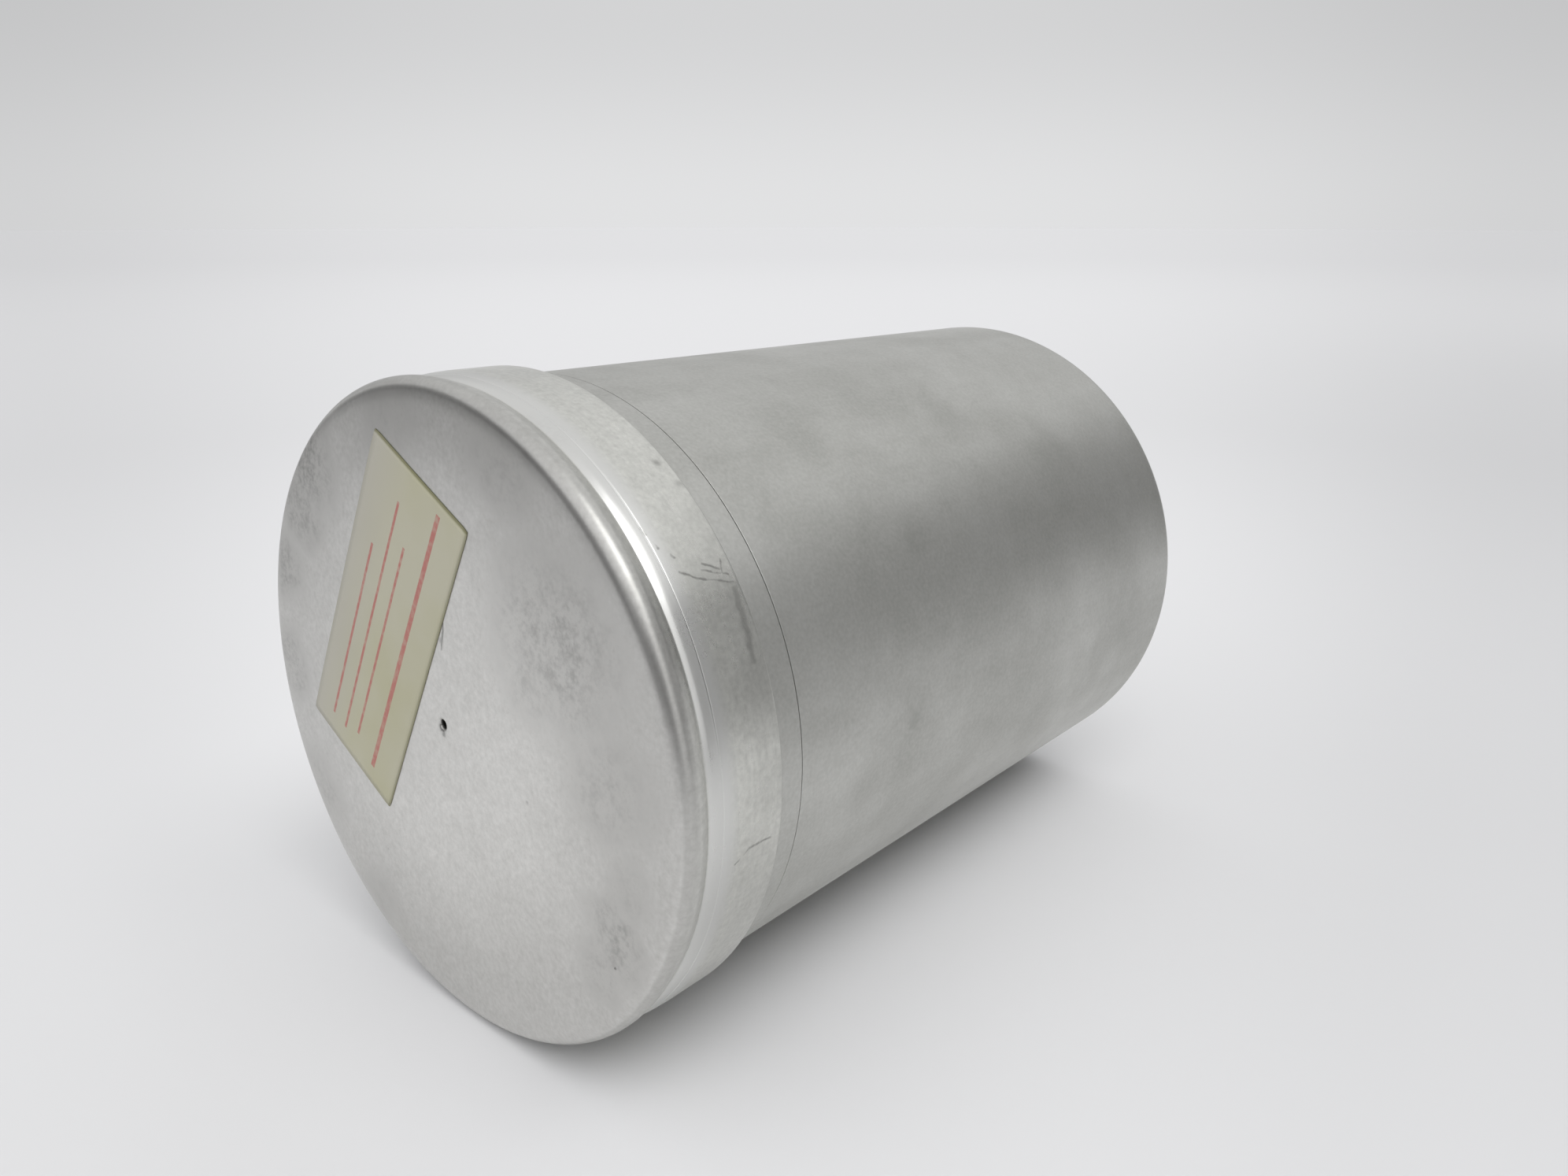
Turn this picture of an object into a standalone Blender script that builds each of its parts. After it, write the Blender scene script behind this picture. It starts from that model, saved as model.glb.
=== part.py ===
# Vacuum dewar for liquid nitrogen, lying on its side as photographed.
# Every piece is drawn standing up: local Z runs from the base plane up to the cover's face.
# One empty then lays the whole dewar down, with the cover towards -X and the base towards +X.
import math

import bmesh
import bpy
from mathutils import Vector

MM = 0.001

# The outer can and the collar that carries on its line up to the mouth
BODY_RADIUS = 50.8 * MM
CAN_WALL = 1.0 * MM
BASE_CORNER = 2.8 * MM
SEAM_HEIGHT = 124.2 * MM
SEAM_GAP = 0.3 * MM
COLLAR_TOP = 139.6 * MM
COLLAR_BORE = 46.0 * MM
COLLAR_FLANGE = 3.0 * MM
SPIGOT_FOOT = 115.0 * MM

# The slip-on cover
COVER_FACE = 148.9 * MM
COVER_RADIUS = 52.5 * MM
COVER_DEPTH = 18.5 * MM
COVER_SHEET = 1.5 * MM
COVER_DOME = 0.5 * MM
VENT_RADIUS = 0.8 * MM

# The recess in the base that hides the pinched-off tube
RECESS_RADIUS = 21.0 * MM
RECESS_DEPTH = 18.0 * MM
PORT_HOLE = 5.2 * MM

# The inner vessel, hung from the collar by its flared lip
VESSEL_RADIUS = 42.9 * MM
VESSEL_WALL = 0.8 * MM
VESSEL_FOOT = 30.0 * MM
DISH_RADIUS = 95.0 * MM
KNUCKLE = 12.0 * MM
LIP_RADIUS = 45.6 * MM

# The stopper under the cover
STOPPER_RADIUS = 41.3 * MM
STOPPER_FOOT = 112.0 * MM
STOPPER_FLANGE = 48.6 * MM
STOPPER_BORE = 3.0 * MM

# Gap left between pieces that touch
FIT = 0.3 * MM

# Steps round a full turn: seen pieces, inner pieces, small pieces
SEEN_STEPS = 56
INNER_STEPS = 36
SMALL_STEPS = 20

# Lying down, the cover's lower rear edge and the base's lower edge rest on the floor
SKIRT_EDGE = COVER_FACE - COVER_DEPTH
LEAN = math.atan((COVER_RADIUS - BODY_RADIUS) / (SKIRT_EDGE - BASE_CORNER))
FACET = math.cos(math.pi / SEEN_STEPS)
AXIS_HEIGHT = COVER_RADIUS * FACET * math.cos(LEAN) - SKIRT_EDGE * math.sin(LEAN)
AXIS_START = COVER_FACE * math.cos(LEAN) / 2

for old in list(bpy.data.objects):
    bpy.data.objects.remove(old, do_unlink=True)

parts = bpy.data.collections.new("liquid_nitrogen_dewar")
bpy.context.scene.collection.children.link(parts)
cutters = bpy.data.collections.new("cutters")
bpy.context.scene.collection.children.link(cutters)

axis = bpy.data.objects.new("dewar_axis", None)
axis.empty_display_size = 0.02
axis.location = (AXIS_START, 0.0, AXIS_HEIGHT)
axis.rotation_euler = (0.0, LEAN - math.pi / 2, 0.0)
parts.objects.link(axis)


# Plain material for one piece
def finish(obj, colour, roughness, metallic):
    mat = bpy.data.materials.new(obj.name + "_material")
    mat.use_nodes = True
    surface = mat.node_tree.nodes["Principled BSDF"]
    surface.inputs["Base Color"].default_value = (*colour, 1.0)
    surface.inputs["Roughness"].default_value = roughness
    surface.inputs["Metallic"].default_value = metallic
    obj.data.materials.append(mat)


# Put a piece on the dewar's axis, turned so that a flat facet faces the floor
def place(name, mesh, steps=None):
    obj = bpy.data.objects.new(name, mesh)
    parts.objects.link(obj)
    obj.parent = axis
    if steps:
        obj.rotation_euler = (0.0, 0.0, math.pi / steps)
    return obj


# Points of an elliptical bend from one angle to another, in degrees
def bend(centre, across, along, start, stop, pieces):
    points = []
    for i in range(pieces + 1):
        angle = math.radians(start + (stop - start) * i / pieces)
        points.append((centre[0] + across * math.cos(angle), centre[1] + along * math.sin(angle)))
    return points


# A turned piece: the outline of (radius, height) points is swept round the axis.
# The outline runs down its outer side. A closed outline makes a solid ring,
# an open one makes a sheet that gets its thickness on the inner side.
def turned(name, outline, steps, closed=True, sheet=None):
    mesh = bpy.data.meshes.new(name)
    last = len(outline) - 1
    edges = [(i, i + 1) for i in range(last)]
    if closed:
        edges.append((last, 0))
    mesh.from_pydata([(r, 0.0, z) for r, z in outline], edges, [])
    obj = place(name, mesh, steps)
    sweep = obj.modifiers.new("sweep", "SCREW")
    sweep.axis = "Z"
    sweep.angle = math.tau
    sweep.steps = steps
    sweep.render_steps = steps
    sweep.use_merge_vertices = True
    sweep.merge_threshold = 0.00001
    sweep.use_smooth_shade = True
    if sheet:
        wall = obj.modifiers.new("wall", "SOLIDIFY")
        wall.thickness = sheet
        wall.offset = -1.0
        wall.use_even_offset = True
    return obj


# A cutter is kept in its own collection and shown as wire
def cutter(name, mesh):
    obj = bpy.data.objects.new(name, mesh)
    cutters.objects.link(obj)
    obj.parent = axis
    obj.display_type = "WIRE"
    obj.hide_render = True
    return obj


def combine(obj, other, how):
    step = obj.modifiers.new(how.lower(), "BOOLEAN")
    step.operation = how
    step.solver = "EXACT"
    step.object = other


# A plain block given by its size and the middle of it
def block_mesh(name, size, middle):
    mesh = bpy.data.meshes.new(name)
    bm = bmesh.new()
    bmesh.ops.create_cube(bm, size=1.0)
    for vert in bm.verts:
        vert.co = Vector([vert.co[i] * size[i] + middle[i] for i in range(3)])
    bm.to_mesh(mesh)
    bm.free()
    return mesh


# Line of the vessel's dished bottom, moved out by some distance: knuckle first, then the dish
DISH_MIDDLE = VESSEL_FOOT + DISH_RADIUS
KNUCKLE_REACH = VESSEL_RADIUS - KNUCKLE
KNUCKLE_HEIGHT = DISH_MIDDLE - math.sqrt((DISH_RADIUS - KNUCKLE) ** 2 - KNUCKLE_REACH**2)
DISH_ANGLE = math.degrees(math.atan2(KNUCKLE_REACH, DISH_MIDDLE - KNUCKLE_HEIGHT))


def bottom_line(out, knuckle_from, knuckle_pieces, dish_to, dish_pieces):
    knuckle = bend((KNUCKLE_REACH, KNUCKLE_HEIGHT), KNUCKLE + out, KNUCKLE + out,
                   -knuckle_from, DISH_ANGLE - 90.0, knuckle_pieces)
    end = math.degrees(math.asin(dish_to / (DISH_RADIUS + out)))
    dish = bend((0.0, DISH_MIDDLE), DISH_RADIUS + out, DISH_RADIUS + out,
                DISH_ANGLE - 90.0, end - 90.0, dish_pieces)
    return knuckle + dish[1:]


# Spun cover. Heights below are measured down from its face.
def down(depth):
    return COVER_FACE - depth * MM


cover_line = [(VENT_RADIUS, COVER_FACE + COVER_DOME), (24.0 * MM, COVER_FACE + 0.75 * COVER_DOME)]
cover_line += [(47.5 * MM, down(0.0)), (49.2 * MM, down(0.04))]
cover_line += bend((50.16 * MM, down(2.4)), 2.31 * MM, 2.3 * MM, 84, 0, 5)
# a land that falls to the foot of a bead, the bead, a rolled crease, and the skirt's soft front
cover_line += [
    (52.3 * MM, down(3.1)),
    (51.62 * MM, down(5.0)),
    (51.85 * MM, down(5.35)),
    (52.04 * MM, down(5.8)),
    (52.2 * MM, down(6.6)),
    (52.24 * MM, down(7.2)),
    (51.94 * MM, down(7.45)),
    (52.2 * MM, down(7.85)),
    (52.4 * MM, down(8.7)),
    (COVER_RADIUS, down(10.4)),
    (COVER_RADIUS, SKIRT_EDGE + 0.3 * MM),
    (COVER_RADIUS - 0.3 * MM, SKIRT_EDGE),
    (COVER_RADIUS - COVER_SHEET, SKIRT_EDGE),
    (COVER_RADIUS - COVER_SHEET, down(8.9)),
    (50.7 * MM, down(7.9)),
    (50.7 * MM, down(6.2)),
    (50.1 * MM, down(5.0)),
    (50.7 * MM, down(3.0)),
    (50.6 * MM, down(2.1)),
    (50.0 * MM, down(1.55)),
    (47.5 * MM, down(1.5)),
    (VENT_RADIUS, COVER_FACE + COVER_DOME - COVER_SHEET),
]
protective_cover = turned("protective_cover", cover_line, SEEN_STEPS)
finish(protective_cover, (0.62, 0.62, 0.61), 0.42, 1.0)

# Foam stopper bonded under the cover: a flange over the mouth and a plug down into the vessel
lip_top = COLLAR_TOP + FIT + VESSEL_WALL
stopper_top = COVER_FACE - COVER_SHEET - FIT
vent_stopper = turned("vent_stopper", [
    (STOPPER_FLANGE - 1.4 * MM, stopper_top),
    (STOPPER_FLANGE, stopper_top - 1.4 * MM),
    (STOPPER_FLANGE, lip_top + FIT),
    (STOPPER_RADIUS, lip_top + FIT),
    (STOPPER_RADIUS, STOPPER_FOOT + 3.0 * MM),
    (STOPPER_RADIUS - 3.0 * MM, STOPPER_FOOT),
    (STOPPER_BORE, STOPPER_FOOT),
    (STOPPER_BORE, stopper_top),
], 48)
finish(vent_stopper, (0.83, 0.80, 0.70), 0.9, 0.0)

# Outer can: plain side, small corner, flat foot and a recess for the port
can_line = [(BODY_RADIUS, SEAM_HEIGHT)]
can_line += bend((BODY_RADIUS - BASE_CORNER, BASE_CORNER), BASE_CORNER, BASE_CORNER, 0, -90, 3)
can_line += [
    (RECESS_RADIUS + 2.2 * MM, 0.0),
    (RECESS_RADIUS + 0.6 * MM, 0.6 * MM),
    (RECESS_RADIUS, 2.2 * MM),
    (RECESS_RADIUS, RECESS_DEPTH - 2.0 * MM),
    (RECESS_RADIUS - 2.0 * MM, RECESS_DEPTH),
    (PORT_HOLE, RECESS_DEPTH),
]
outer_can = turned("outer_can", can_line, SEEN_STEPS, closed=False, sheet=CAN_WALL)
finish(outer_can, (0.45, 0.46, 0.44), 0.45, 1.0)

# Neck collar: flush with the can, a spigot inside it below, a flange at the mouth,
# and a groove for the rubber ring that holds the cover
can_bore = BODY_RADIUS - CAN_WALL
ring_height = 134.4 * MM
ring_section = 1.25 * MM
groove_foot = BODY_RADIUS - 2.8 * MM
neck_collar = turned("neck_collar", [
    (BODY_RADIUS - 0.5 * MM, COLLAR_TOP),
    (BODY_RADIUS, COLLAR_TOP - 0.5 * MM),
    (BODY_RADIUS, ring_height + 1.6 * MM),
    (groove_foot, ring_height + 1.6 * MM),
    (groove_foot, ring_height - 1.6 * MM),
    (BODY_RADIUS, ring_height - 1.6 * MM),
    (BODY_RADIUS, SEAM_HEIGHT + SEAM_GAP),
    (can_bore - FIT, SEAM_HEIGHT + SEAM_GAP),
    (can_bore - FIT, SPIGOT_FOOT),
    (COLLAR_BORE, SPIGOT_FOOT),
    (COLLAR_BORE, COLLAR_TOP - COLLAR_FLANGE),
    (VESSEL_RADIUS + 0.5 * MM, COLLAR_TOP - COLLAR_FLANGE),
    (VESSEL_RADIUS + 0.5 * MM, COLLAR_TOP - 1.0 * MM),
    (VESSEL_RADIUS + 1.5 * MM, COLLAR_TOP),
], SEEN_STEPS)
finish(neck_collar, (0.45, 0.46, 0.44), 0.45, 1.0)

# Rubber ring in the collar's groove
ring_middle = BODY_RADIUS - ring_section
collar_ring = turned(
    "collar_ring", bend((ring_middle, ring_height), ring_section, ring_section, 90, -210, 5), SEEN_STEPS)
finish(collar_ring, (0.02, 0.02, 0.02), 0.6, 0.0)

# Inner vessel: flared lip over the collar, straight wall, knuckle and dished bottom
vessel_line = [(LIP_RADIUS, COLLAR_TOP + FIT)]
vessel_line += bend((VESSEL_RADIUS + 1.2 * MM, COLLAR_TOP + FIT - 1.2 * MM), 1.2 * MM, 1.2 * MM, 90, 180, 2)
vessel_line += bottom_line(0.0, 0.0, 3, 0.0, 4)
vessel_line[-1] = (0.0, VESSEL_FOOT)
inner_vessel = turned("inner_vessel", vessel_line, INNER_STEPS, closed=False, sheet=VESSEL_WALL)
finish(inner_vessel, (0.55, 0.55, 0.54), 0.25, 1.0)


# Insulation wound round the vessel: one long sheet that starts at some radius and grows each turn
def wound(name, start, growth, turns, thickness, foot, top):
    pieces = 30
    verts = []
    faces = []
    for i in range(turns * pieces + 1):
        radius = start + growth * i / pieces
        angle = math.tau * i / pieces
        verts.append((radius * math.cos(angle), radius * math.sin(angle), foot))
        verts.append((radius * math.cos(angle), radius * math.sin(angle), top))
        if i:
            faces.append((2 * i - 2, 2 * i, 2 * i + 1, 2 * i - 1))
    mesh = bpy.data.meshes.new(name)
    mesh.from_pydata(verts, [], faces)
    obj = place(name, mesh)
    wall = obj.modifiers.new("wall", "SOLIDIFY")
    wall.thickness = thickness
    wall.offset = 0.0
    wall.use_even_offset = True
    return obj


block_foot = KNUCKLE_HEIGHT + 1.0 * MM
block_tall = 10.0 * MM
wrap_foot = block_foot + block_tall + FIT
wrap_top = SPIGOT_FOOT - FIT
foil_wrap = wound("foil_wrap", 43.7 * MM, 1.5 * MM, 3, 0.25 * MM, wrap_foot, wrap_top)
finish(foil_wrap, (0.80, 0.80, 0.80), 0.15, 1.0)
paper_wrap = wound("paper_wrap", 44.45 * MM, 1.5 * MM, 3, 0.4 * MM, wrap_foot, wrap_top)
finish(paper_wrap, (0.85, 0.84, 0.80), 0.9, 0.0)

# Insulation under the dished bottom, with a hole for the getter cup
foil_base_cap = turned("foil_base_cap", bottom_line(0.45 * MM, 30.0, 2, 16.0 * MM, 2), INNER_STEPS,
                       closed=False, sheet=-0.3 * MM)
finish(foil_base_cap, (0.80, 0.80, 0.80), 0.15, 1.0)
paper_base_cap = turned("paper_base_cap", bottom_line(1.1 * MM, 30.0, 2, 16.0 * MM, 2), INNER_STEPS,
                        closed=False, sheet=-0.5 * MM)
finish(paper_base_cap, (0.85, 0.84, 0.80), 0.9, 0.0)

# Three blocks keep the hanging vessel in the middle of the can
block_near = VESSEL_RADIUS + FIT
block_far = 49.1 * MM
for number in (1, 2, 3):
    name = "centring_block_%d" % number
    mesh = block_mesh(name, (block_far - block_near, 11.0 * MM, block_tall),
                      ((block_far + block_near) / 2, 0.0, block_foot + block_tall / 2))
    centring_block = place(name, mesh)
    centring_block.rotation_euler = (0.0, 0.0, math.radians(60 + 120 * number))
    edge = centring_block.modifiers.new("edge", "BEVEL")
    edge.width = 0.8 * MM
    edge.segments = 1
    finish(centring_block, (0.45, 0.52, 0.28), 0.6, 0.0)

# Getter under the vessel's bottom: a cup, its charge, and the screen that keeps the charge in
cup_radius = 14.0 * MM
cup_foot = 23.7 * MM
cup_top = bottom_line(-FIT, 10.0, 1, cup_radius, 1)[-1][1] - 2 * FIT
getter_cup = turned("getter_cup", [
    (0.0, VESSEL_FOOT - FIT),
    (6.0 * MM, VESSEL_FOOT - FIT + 0.1 * MM),
    (cup_radius, cup_top),
    (cup_radius, cup_foot),
    (12.2 * MM, cup_foot),
    (12.2 * MM, cup_foot + 0.6 * MM),
    (13.3 * MM, cup_foot + 0.6 * MM),
    (13.3 * MM, cup_top - 0.9 * MM),
    (6.0 * MM, VESSEL_FOOT - FIT - 0.75 * MM),
    (0.0, VESSEL_FOOT - FIT - 0.8 * MM),
], SMALL_STEPS + 4, closed=False)
finish(getter_cup, (0.55, 0.55, 0.54), 0.3, 1.0)
getter_charge = turned("getter_charge", [
    (0.0, 28.5 * MM),
    (12.9 * MM, 28.5 * MM),
    (12.9 * MM, cup_foot + 1.8 * MM),
    (0.0, cup_foot + 1.8 * MM),
], SMALL_STEPS + 4, closed=False)
finish(getter_charge, (0.05, 0.05, 0.05), 0.95, 0.0)
getter_screen = turned("getter_screen", [
    (0.0, cup_foot + 1.5 * MM),
    (12.9 * MM, cup_foot + 1.5 * MM),
    (12.9 * MM, cup_foot + 0.9 * MM),
    (0.0, cup_foot + 0.9 * MM),
], SMALL_STEPS + 4, closed=False)
finish(getter_screen, (0.55, 0.55, 0.54), 0.35, 1.0)
bm = bmesh.new()
for ring, count in ((4.0 * MM, 6), (8.6 * MM, 12)):
    for i in range(count):
        turn = math.tau * i / count
        made = bmesh.ops.create_cone(bm, cap_ends=True, segments=6, radius1=1.1 * MM, radius2=1.1 * MM,
                                     depth=4.0 * MM)
        bmesh.ops.translate(bm, verts=made["verts"],
                            vec=(ring * math.cos(turn), ring * math.sin(turn), cup_foot + 1.2 * MM))
hole_mesh = bpy.data.meshes.new("screen_holes")
bm.to_mesh(hole_mesh)
bm.free()
combine(getter_screen, cutter("screen_holes", hole_mesh), "DIFFERENCE")

# Pump-out port in the roof of the base recess: a boss and the pinched copper tube
boss_top = RECESS_DEPTH - FIT
port_boss = turned("port_boss", [
    (PORT_HOLE - FIT, RECESS_DEPTH + CAN_WALL + 1.5 * MM),
    (PORT_HOLE - FIT, boss_top),
    (8.5 * MM, boss_top),
    (8.5 * MM, boss_top - 2.3 * MM),
    (3.3 * MM, boss_top - 2.3 * MM),
    (3.3 * MM, RECESS_DEPTH + CAN_WALL + 1.5 * MM),
], SMALL_STEPS)
finish(port_boss, (0.50, 0.50, 0.49), 0.35, 1.0)

tube_radius = 3.0 * MM
tube_bore = 2.0 * MM
tube_top = RECESS_DEPTH + CAN_WALL + 1.2 * MM
crimp_top = 12.0 * MM
crimp_foot = 9.0 * MM
tube_foot = 6.5 * MM
tube_line = [(tube_radius, tube_top), (tube_radius, crimp_top), (tube_radius, (crimp_top + crimp_foot) / 2),
             (tube_radius, crimp_foot), (tube_radius, tube_foot), (0.0, tube_foot),
             (0.0, crimp_foot + 1.5 * MM), (tube_bore, crimp_top), (tube_bore, tube_top)]


# The tube's lower end is squeezed flat: thinner one way and wider the other.
# The swept ring of points is made here, so that each point can be moved.
def pinched(name, line, steps):
    verts = []
    rows = []
    for r, z in line:
        if r == 0.0:
            rows.append([len(verts)])
            verts.append((0.0, 0.0, z))
            continue
        squeeze = min(max((crimp_top - z) / (crimp_top - crimp_foot), 0.0), 1.0)
        squeeze = squeeze * squeeze * (3 - 2 * squeeze)
        row = []
        for i in range(steps):
            angle = math.tau * i / steps
            row.append(len(verts))
            verts.append((r * math.cos(angle) * (1 - 0.72 * squeeze), r * math.sin(angle) * (1 + 0.45 * squeeze), z))
        rows.append(row)
    faces = []
    for upper, lower in zip(rows, rows[1:] + rows[:1]):
        for i in range(steps):
            j = (i + 1) % steps
            if len(upper) == 1 and len(lower) == 1:
                break
            if len(upper) == 1:
                faces.append((upper[0], lower[i], lower[j]))
            elif len(lower) == 1:
                faces.append((upper[i], lower[0], upper[j]))
            else:
                faces.append((upper[i], lower[i], lower[j], upper[j]))
    mesh = bpy.data.meshes.new(name)
    mesh.from_pydata(verts, [], faces)
    return place(name, mesh)


pinch_off_tube = pinched("pinch_off_tube", tube_line, 16)
finish(pinch_off_tube, (0.72, 0.38, 0.22), 0.35, 1.0)

# Soft guard over the pinched edge: a rounded block with a slot for the flat end
guard_tall = 4.0 * MM
guard_middle = tube_foot - 1.0 * MM + guard_tall / 2
tip_guard = place("tip_guard", block_mesh("tip_guard", (4.4 * MM, 11.6 * MM, guard_tall), (0.0, 0.0, guard_middle)))
edge = tip_guard.modifiers.new("edge", "BEVEL")
edge.width = 1.2 * MM
edge.segments = 2
slot_mesh = block_mesh("guard_slot", (2.4 * MM, 9.5 * MM, guard_tall), (0.0, 0.0, guard_middle + 0.7 * MM))
combine(tip_guard, cutter("guard_slot", slot_mesh), "DIFFERENCE")
finish(tip_guard, (0.55, 0.06, 0.05), 0.5, 0.0)

# Rubber plug in the base recess: thin face, standing rim, and a bar across a dish to pull it by
plug_radius = RECESS_RADIUS - 0.4 * MM
plug_face = 0.6 * MM
port_plug = turned("port_plug", [
    (0.0, 3.8 * MM),
    (17.0 * MM, 3.8 * MM),
    (17.4 * MM, 9.5 * MM),
    (plug_radius - 0.6 * MM, 9.5 * MM),
    (plug_radius, 8.9 * MM),
    (plug_radius, 2.0 * MM),
    (plug_radius - 0.8 * MM, plug_face),
    (14.5 * MM, plug_face),
    (13.5 * MM, 2.2 * MM),
    (0.0, 2.2 * MM),
], 32, closed=False)
bar_mesh = block_mesh("pull_bar", (5.0 * MM, 28.2 * MM, 2.6 * MM), (0.0, 0.0, 1.95 * MM))
combine(port_plug, cutter("pull_bar", bar_mesh), "UNION")
finish(port_plug, (0.03, 0.03, 0.03), 0.65, 0.0)
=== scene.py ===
# Liquid nitrogen dewar lying on its side: the looks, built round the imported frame.
# Piece sizes are in millimetres, and a piece is drawn standing up before it is laid down.
import math

import bmesh
import bpy
from mathutils import Euler, Matrix, Vector, noise


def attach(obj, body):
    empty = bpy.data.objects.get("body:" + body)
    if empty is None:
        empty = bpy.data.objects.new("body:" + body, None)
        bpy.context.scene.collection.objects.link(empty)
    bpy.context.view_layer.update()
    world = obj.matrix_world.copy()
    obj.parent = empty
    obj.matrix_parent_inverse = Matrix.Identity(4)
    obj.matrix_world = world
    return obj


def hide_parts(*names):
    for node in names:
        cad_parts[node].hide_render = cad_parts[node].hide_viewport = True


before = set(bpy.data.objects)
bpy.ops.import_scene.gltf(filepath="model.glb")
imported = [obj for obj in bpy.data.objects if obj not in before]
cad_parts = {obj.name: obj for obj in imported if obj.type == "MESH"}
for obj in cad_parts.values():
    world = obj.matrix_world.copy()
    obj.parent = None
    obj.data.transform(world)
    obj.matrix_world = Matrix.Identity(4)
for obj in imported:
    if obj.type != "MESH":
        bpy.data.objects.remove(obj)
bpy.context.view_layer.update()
scene = bpy.context.scene
mm = 0.001
onAxis = 0.01  # a point with a smaller radius lies on the axis
bendStep = 12  # degrees between the points of a rounded corner
print("frame loaded:", len(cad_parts), "nodes")

# how the dewar lies: on the cover's rear edge and the base's edge
lying = {
    "coverRadius": 52.5,
    "bodyRadius": 50.8,
    "coverFace": 148.9,
    "skirtEdge": 130.4,
    "baseCorner": 2.8,
    "facets": 56,
}
lean = math.atan((lying["coverRadius"] - lying["bodyRadius"]) / (lying["skirtEdge"] - lying["baseCorner"]))
inset = math.cos(math.pi / lying["facets"])  # the round pieces stay inside the solids' facets
axisPlace = Vector((
    lying["coverFace"] * math.cos(lean) / 2,
    0,
    lying["coverRadius"] * inset * math.cos(lean) - lying["skirtEdge"] * math.sin(lean),
)) * mm
axisTurn = Euler((0, lean - math.pi / 2, 0))
layDown = Matrix.LocRotScale(axisPlace, axisTurn, None)


# outlines: a list of (radius, height) that runs down the outer side

def arcPoints(centre, radius, start, stop, pieces, tall=None):
    points = []
    for i in range(pieces + 1):
        angle = math.radians(start + (stop - start) * i / pieces)
        points.append((centre[0] + radius * math.cos(angle), centre[1] + (tall or radius) * math.sin(angle)))
    return points


# smooth line through the points
def smoothed(points, pieces=4):
    ends = [points[0]] + list(points) + [points[-1]]
    line = []
    for a, b, c, d in zip(ends, ends[1:], ends[2:], ends[3:]):
        for k in range(pieces):
            t = k / pieces
            line.append(tuple(
                0.5 * (2 * b[i] + (c[i] - a[i]) * t + (2 * a[i] - 5 * b[i] + 4 * c[i] - d[i]) * t * t
                       + (3 * b[i] - a[i] - 3 * c[i] + d[i]) * t ** 3)
                for i in (0, 1)))
    return line + [tuple(points[-1])]


# corners given as (radius, height, bend) come out rounded
def rounded(corners):
    line = []
    for i, corner in enumerate(corners):
        here = Vector(corner[:2])
        bend = corner[2] if len(corner) > 2 else 0
        if not bend:
            line.append(tuple(here))
            continue
        back = (Vector(corners[i - 1][:2]) - here).normalized()
        ahead = (Vector(corners[(i + 1) % len(corners)][:2]) - here).normalized()
        half = back.angle(ahead) / 2
        middle = here + (back + ahead).normalized() * bend / math.sin(half)
        start = here + back * bend / math.tan(half) - middle
        stop = here + ahead * bend / math.tan(half) - middle
        first = math.atan2(start.y, start.x)
        sweep = (math.atan2(stop.y, stop.x) - first + math.pi) % math.tau - math.pi
        pieces = max(2, math.ceil(abs(sweep) / math.radians(bendStep)))
        for k in range(pieces + 1):
            angle = first + sweep * k / pieces
            line.append((middle.x + bend * math.cos(angle), middle.y + bend * math.sin(angle)))
    return line


# long straight runs get points of their own, close to their ends too, so the shading stays flat
def spaced(line, closed, shortest=1.2, longest=5, close=0.25):
    following = line[1:] + (line[:1] if closed else [])
    out = []
    for p, q in zip(line, following):
        out.append(p)
        run = math.dist(p, q)
        if run > shortest:
            stops = [close / run]
            count = math.ceil(run / longest)
            stops += [k / count for k in range(1, count)]
            stops.append(1 - close / run)
            out += [(p[0] + (q[0] - p[0]) * t, p[1] + (q[1] - p[1]) * t) for t in stops]
    if not closed:
        out.append(line[-1])
    return out


def newPiece(name, verts, faces, body, replaced=None):
    mesh = bpy.data.meshes.new(name)
    mesh.from_pydata([Vector(v) * mm for v in verts], [], faces)
    mesh.transform(layDown)
    mesh.polygons.foreach_set("use_smooth", [True] * len(mesh.polygons))
    mesh.update()
    piece = bpy.data.objects.new(name, mesh)
    scene.collection.objects.link(piece)
    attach(piece, body)
    if replaced:
        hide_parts(replaced)
    return piece


# sweeps an outline round the axis; shift moves a point out or in, and shape moves it anywhere
def turned(name, line, body, replaced, around, shift=None, shape=None):
    closed = line[0][0] > onAxis or line[-1][0] > onAxis
    line = spaced(line, closed)
    verts, rows, faces = [], [], []
    for radius, height in line:
        if radius < onAxis:
            rows.append([len(verts)])
            verts.append((0, 0, height))
            continue
        rows.append(range(len(verts), len(verts) + around))
        for i in range(around):
            angle = math.tau * i / around
            reach = radius * inset + (shift(angle, radius, height) if shift else 0)
            point = (reach * math.cos(angle), reach * math.sin(angle), height)
            verts.append(shape(point) if shape else point)
    for upper, lower in zip(rows, rows[1:] + (rows[:1] if closed else [])):
        for i in range(around):
            j = (i + 1) % around
            if len(upper) == 1:
                faces.append((upper[0], lower[i], lower[j]))
            elif len(lower) == 1:
                faces.append((upper[i], lower[0], upper[j]))
            else:
                faces.append((upper[i], lower[i], lower[j], upper[j]))
    return newPiece(name, verts, faces, body, replaced)


# materials

def hexColour(code):
    channels = [int(code[i:i + 2], 16) / 255 for i in (1, 3, 5)]
    return tuple(c / 12.92 if c <= 0.04045 else ((c + 0.055) / 1.055) ** 2.4 for c in channels) + (1,)


def setInputs(tree, node, inputs):
    for name, value in inputs.items():
        if isinstance(value, bpy.types.NodeSocket):
            tree.links.new(value, node.inputs[name])
        else:
            node.inputs[name].default_value = hexColour(value) if isinstance(value, str) else value


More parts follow.
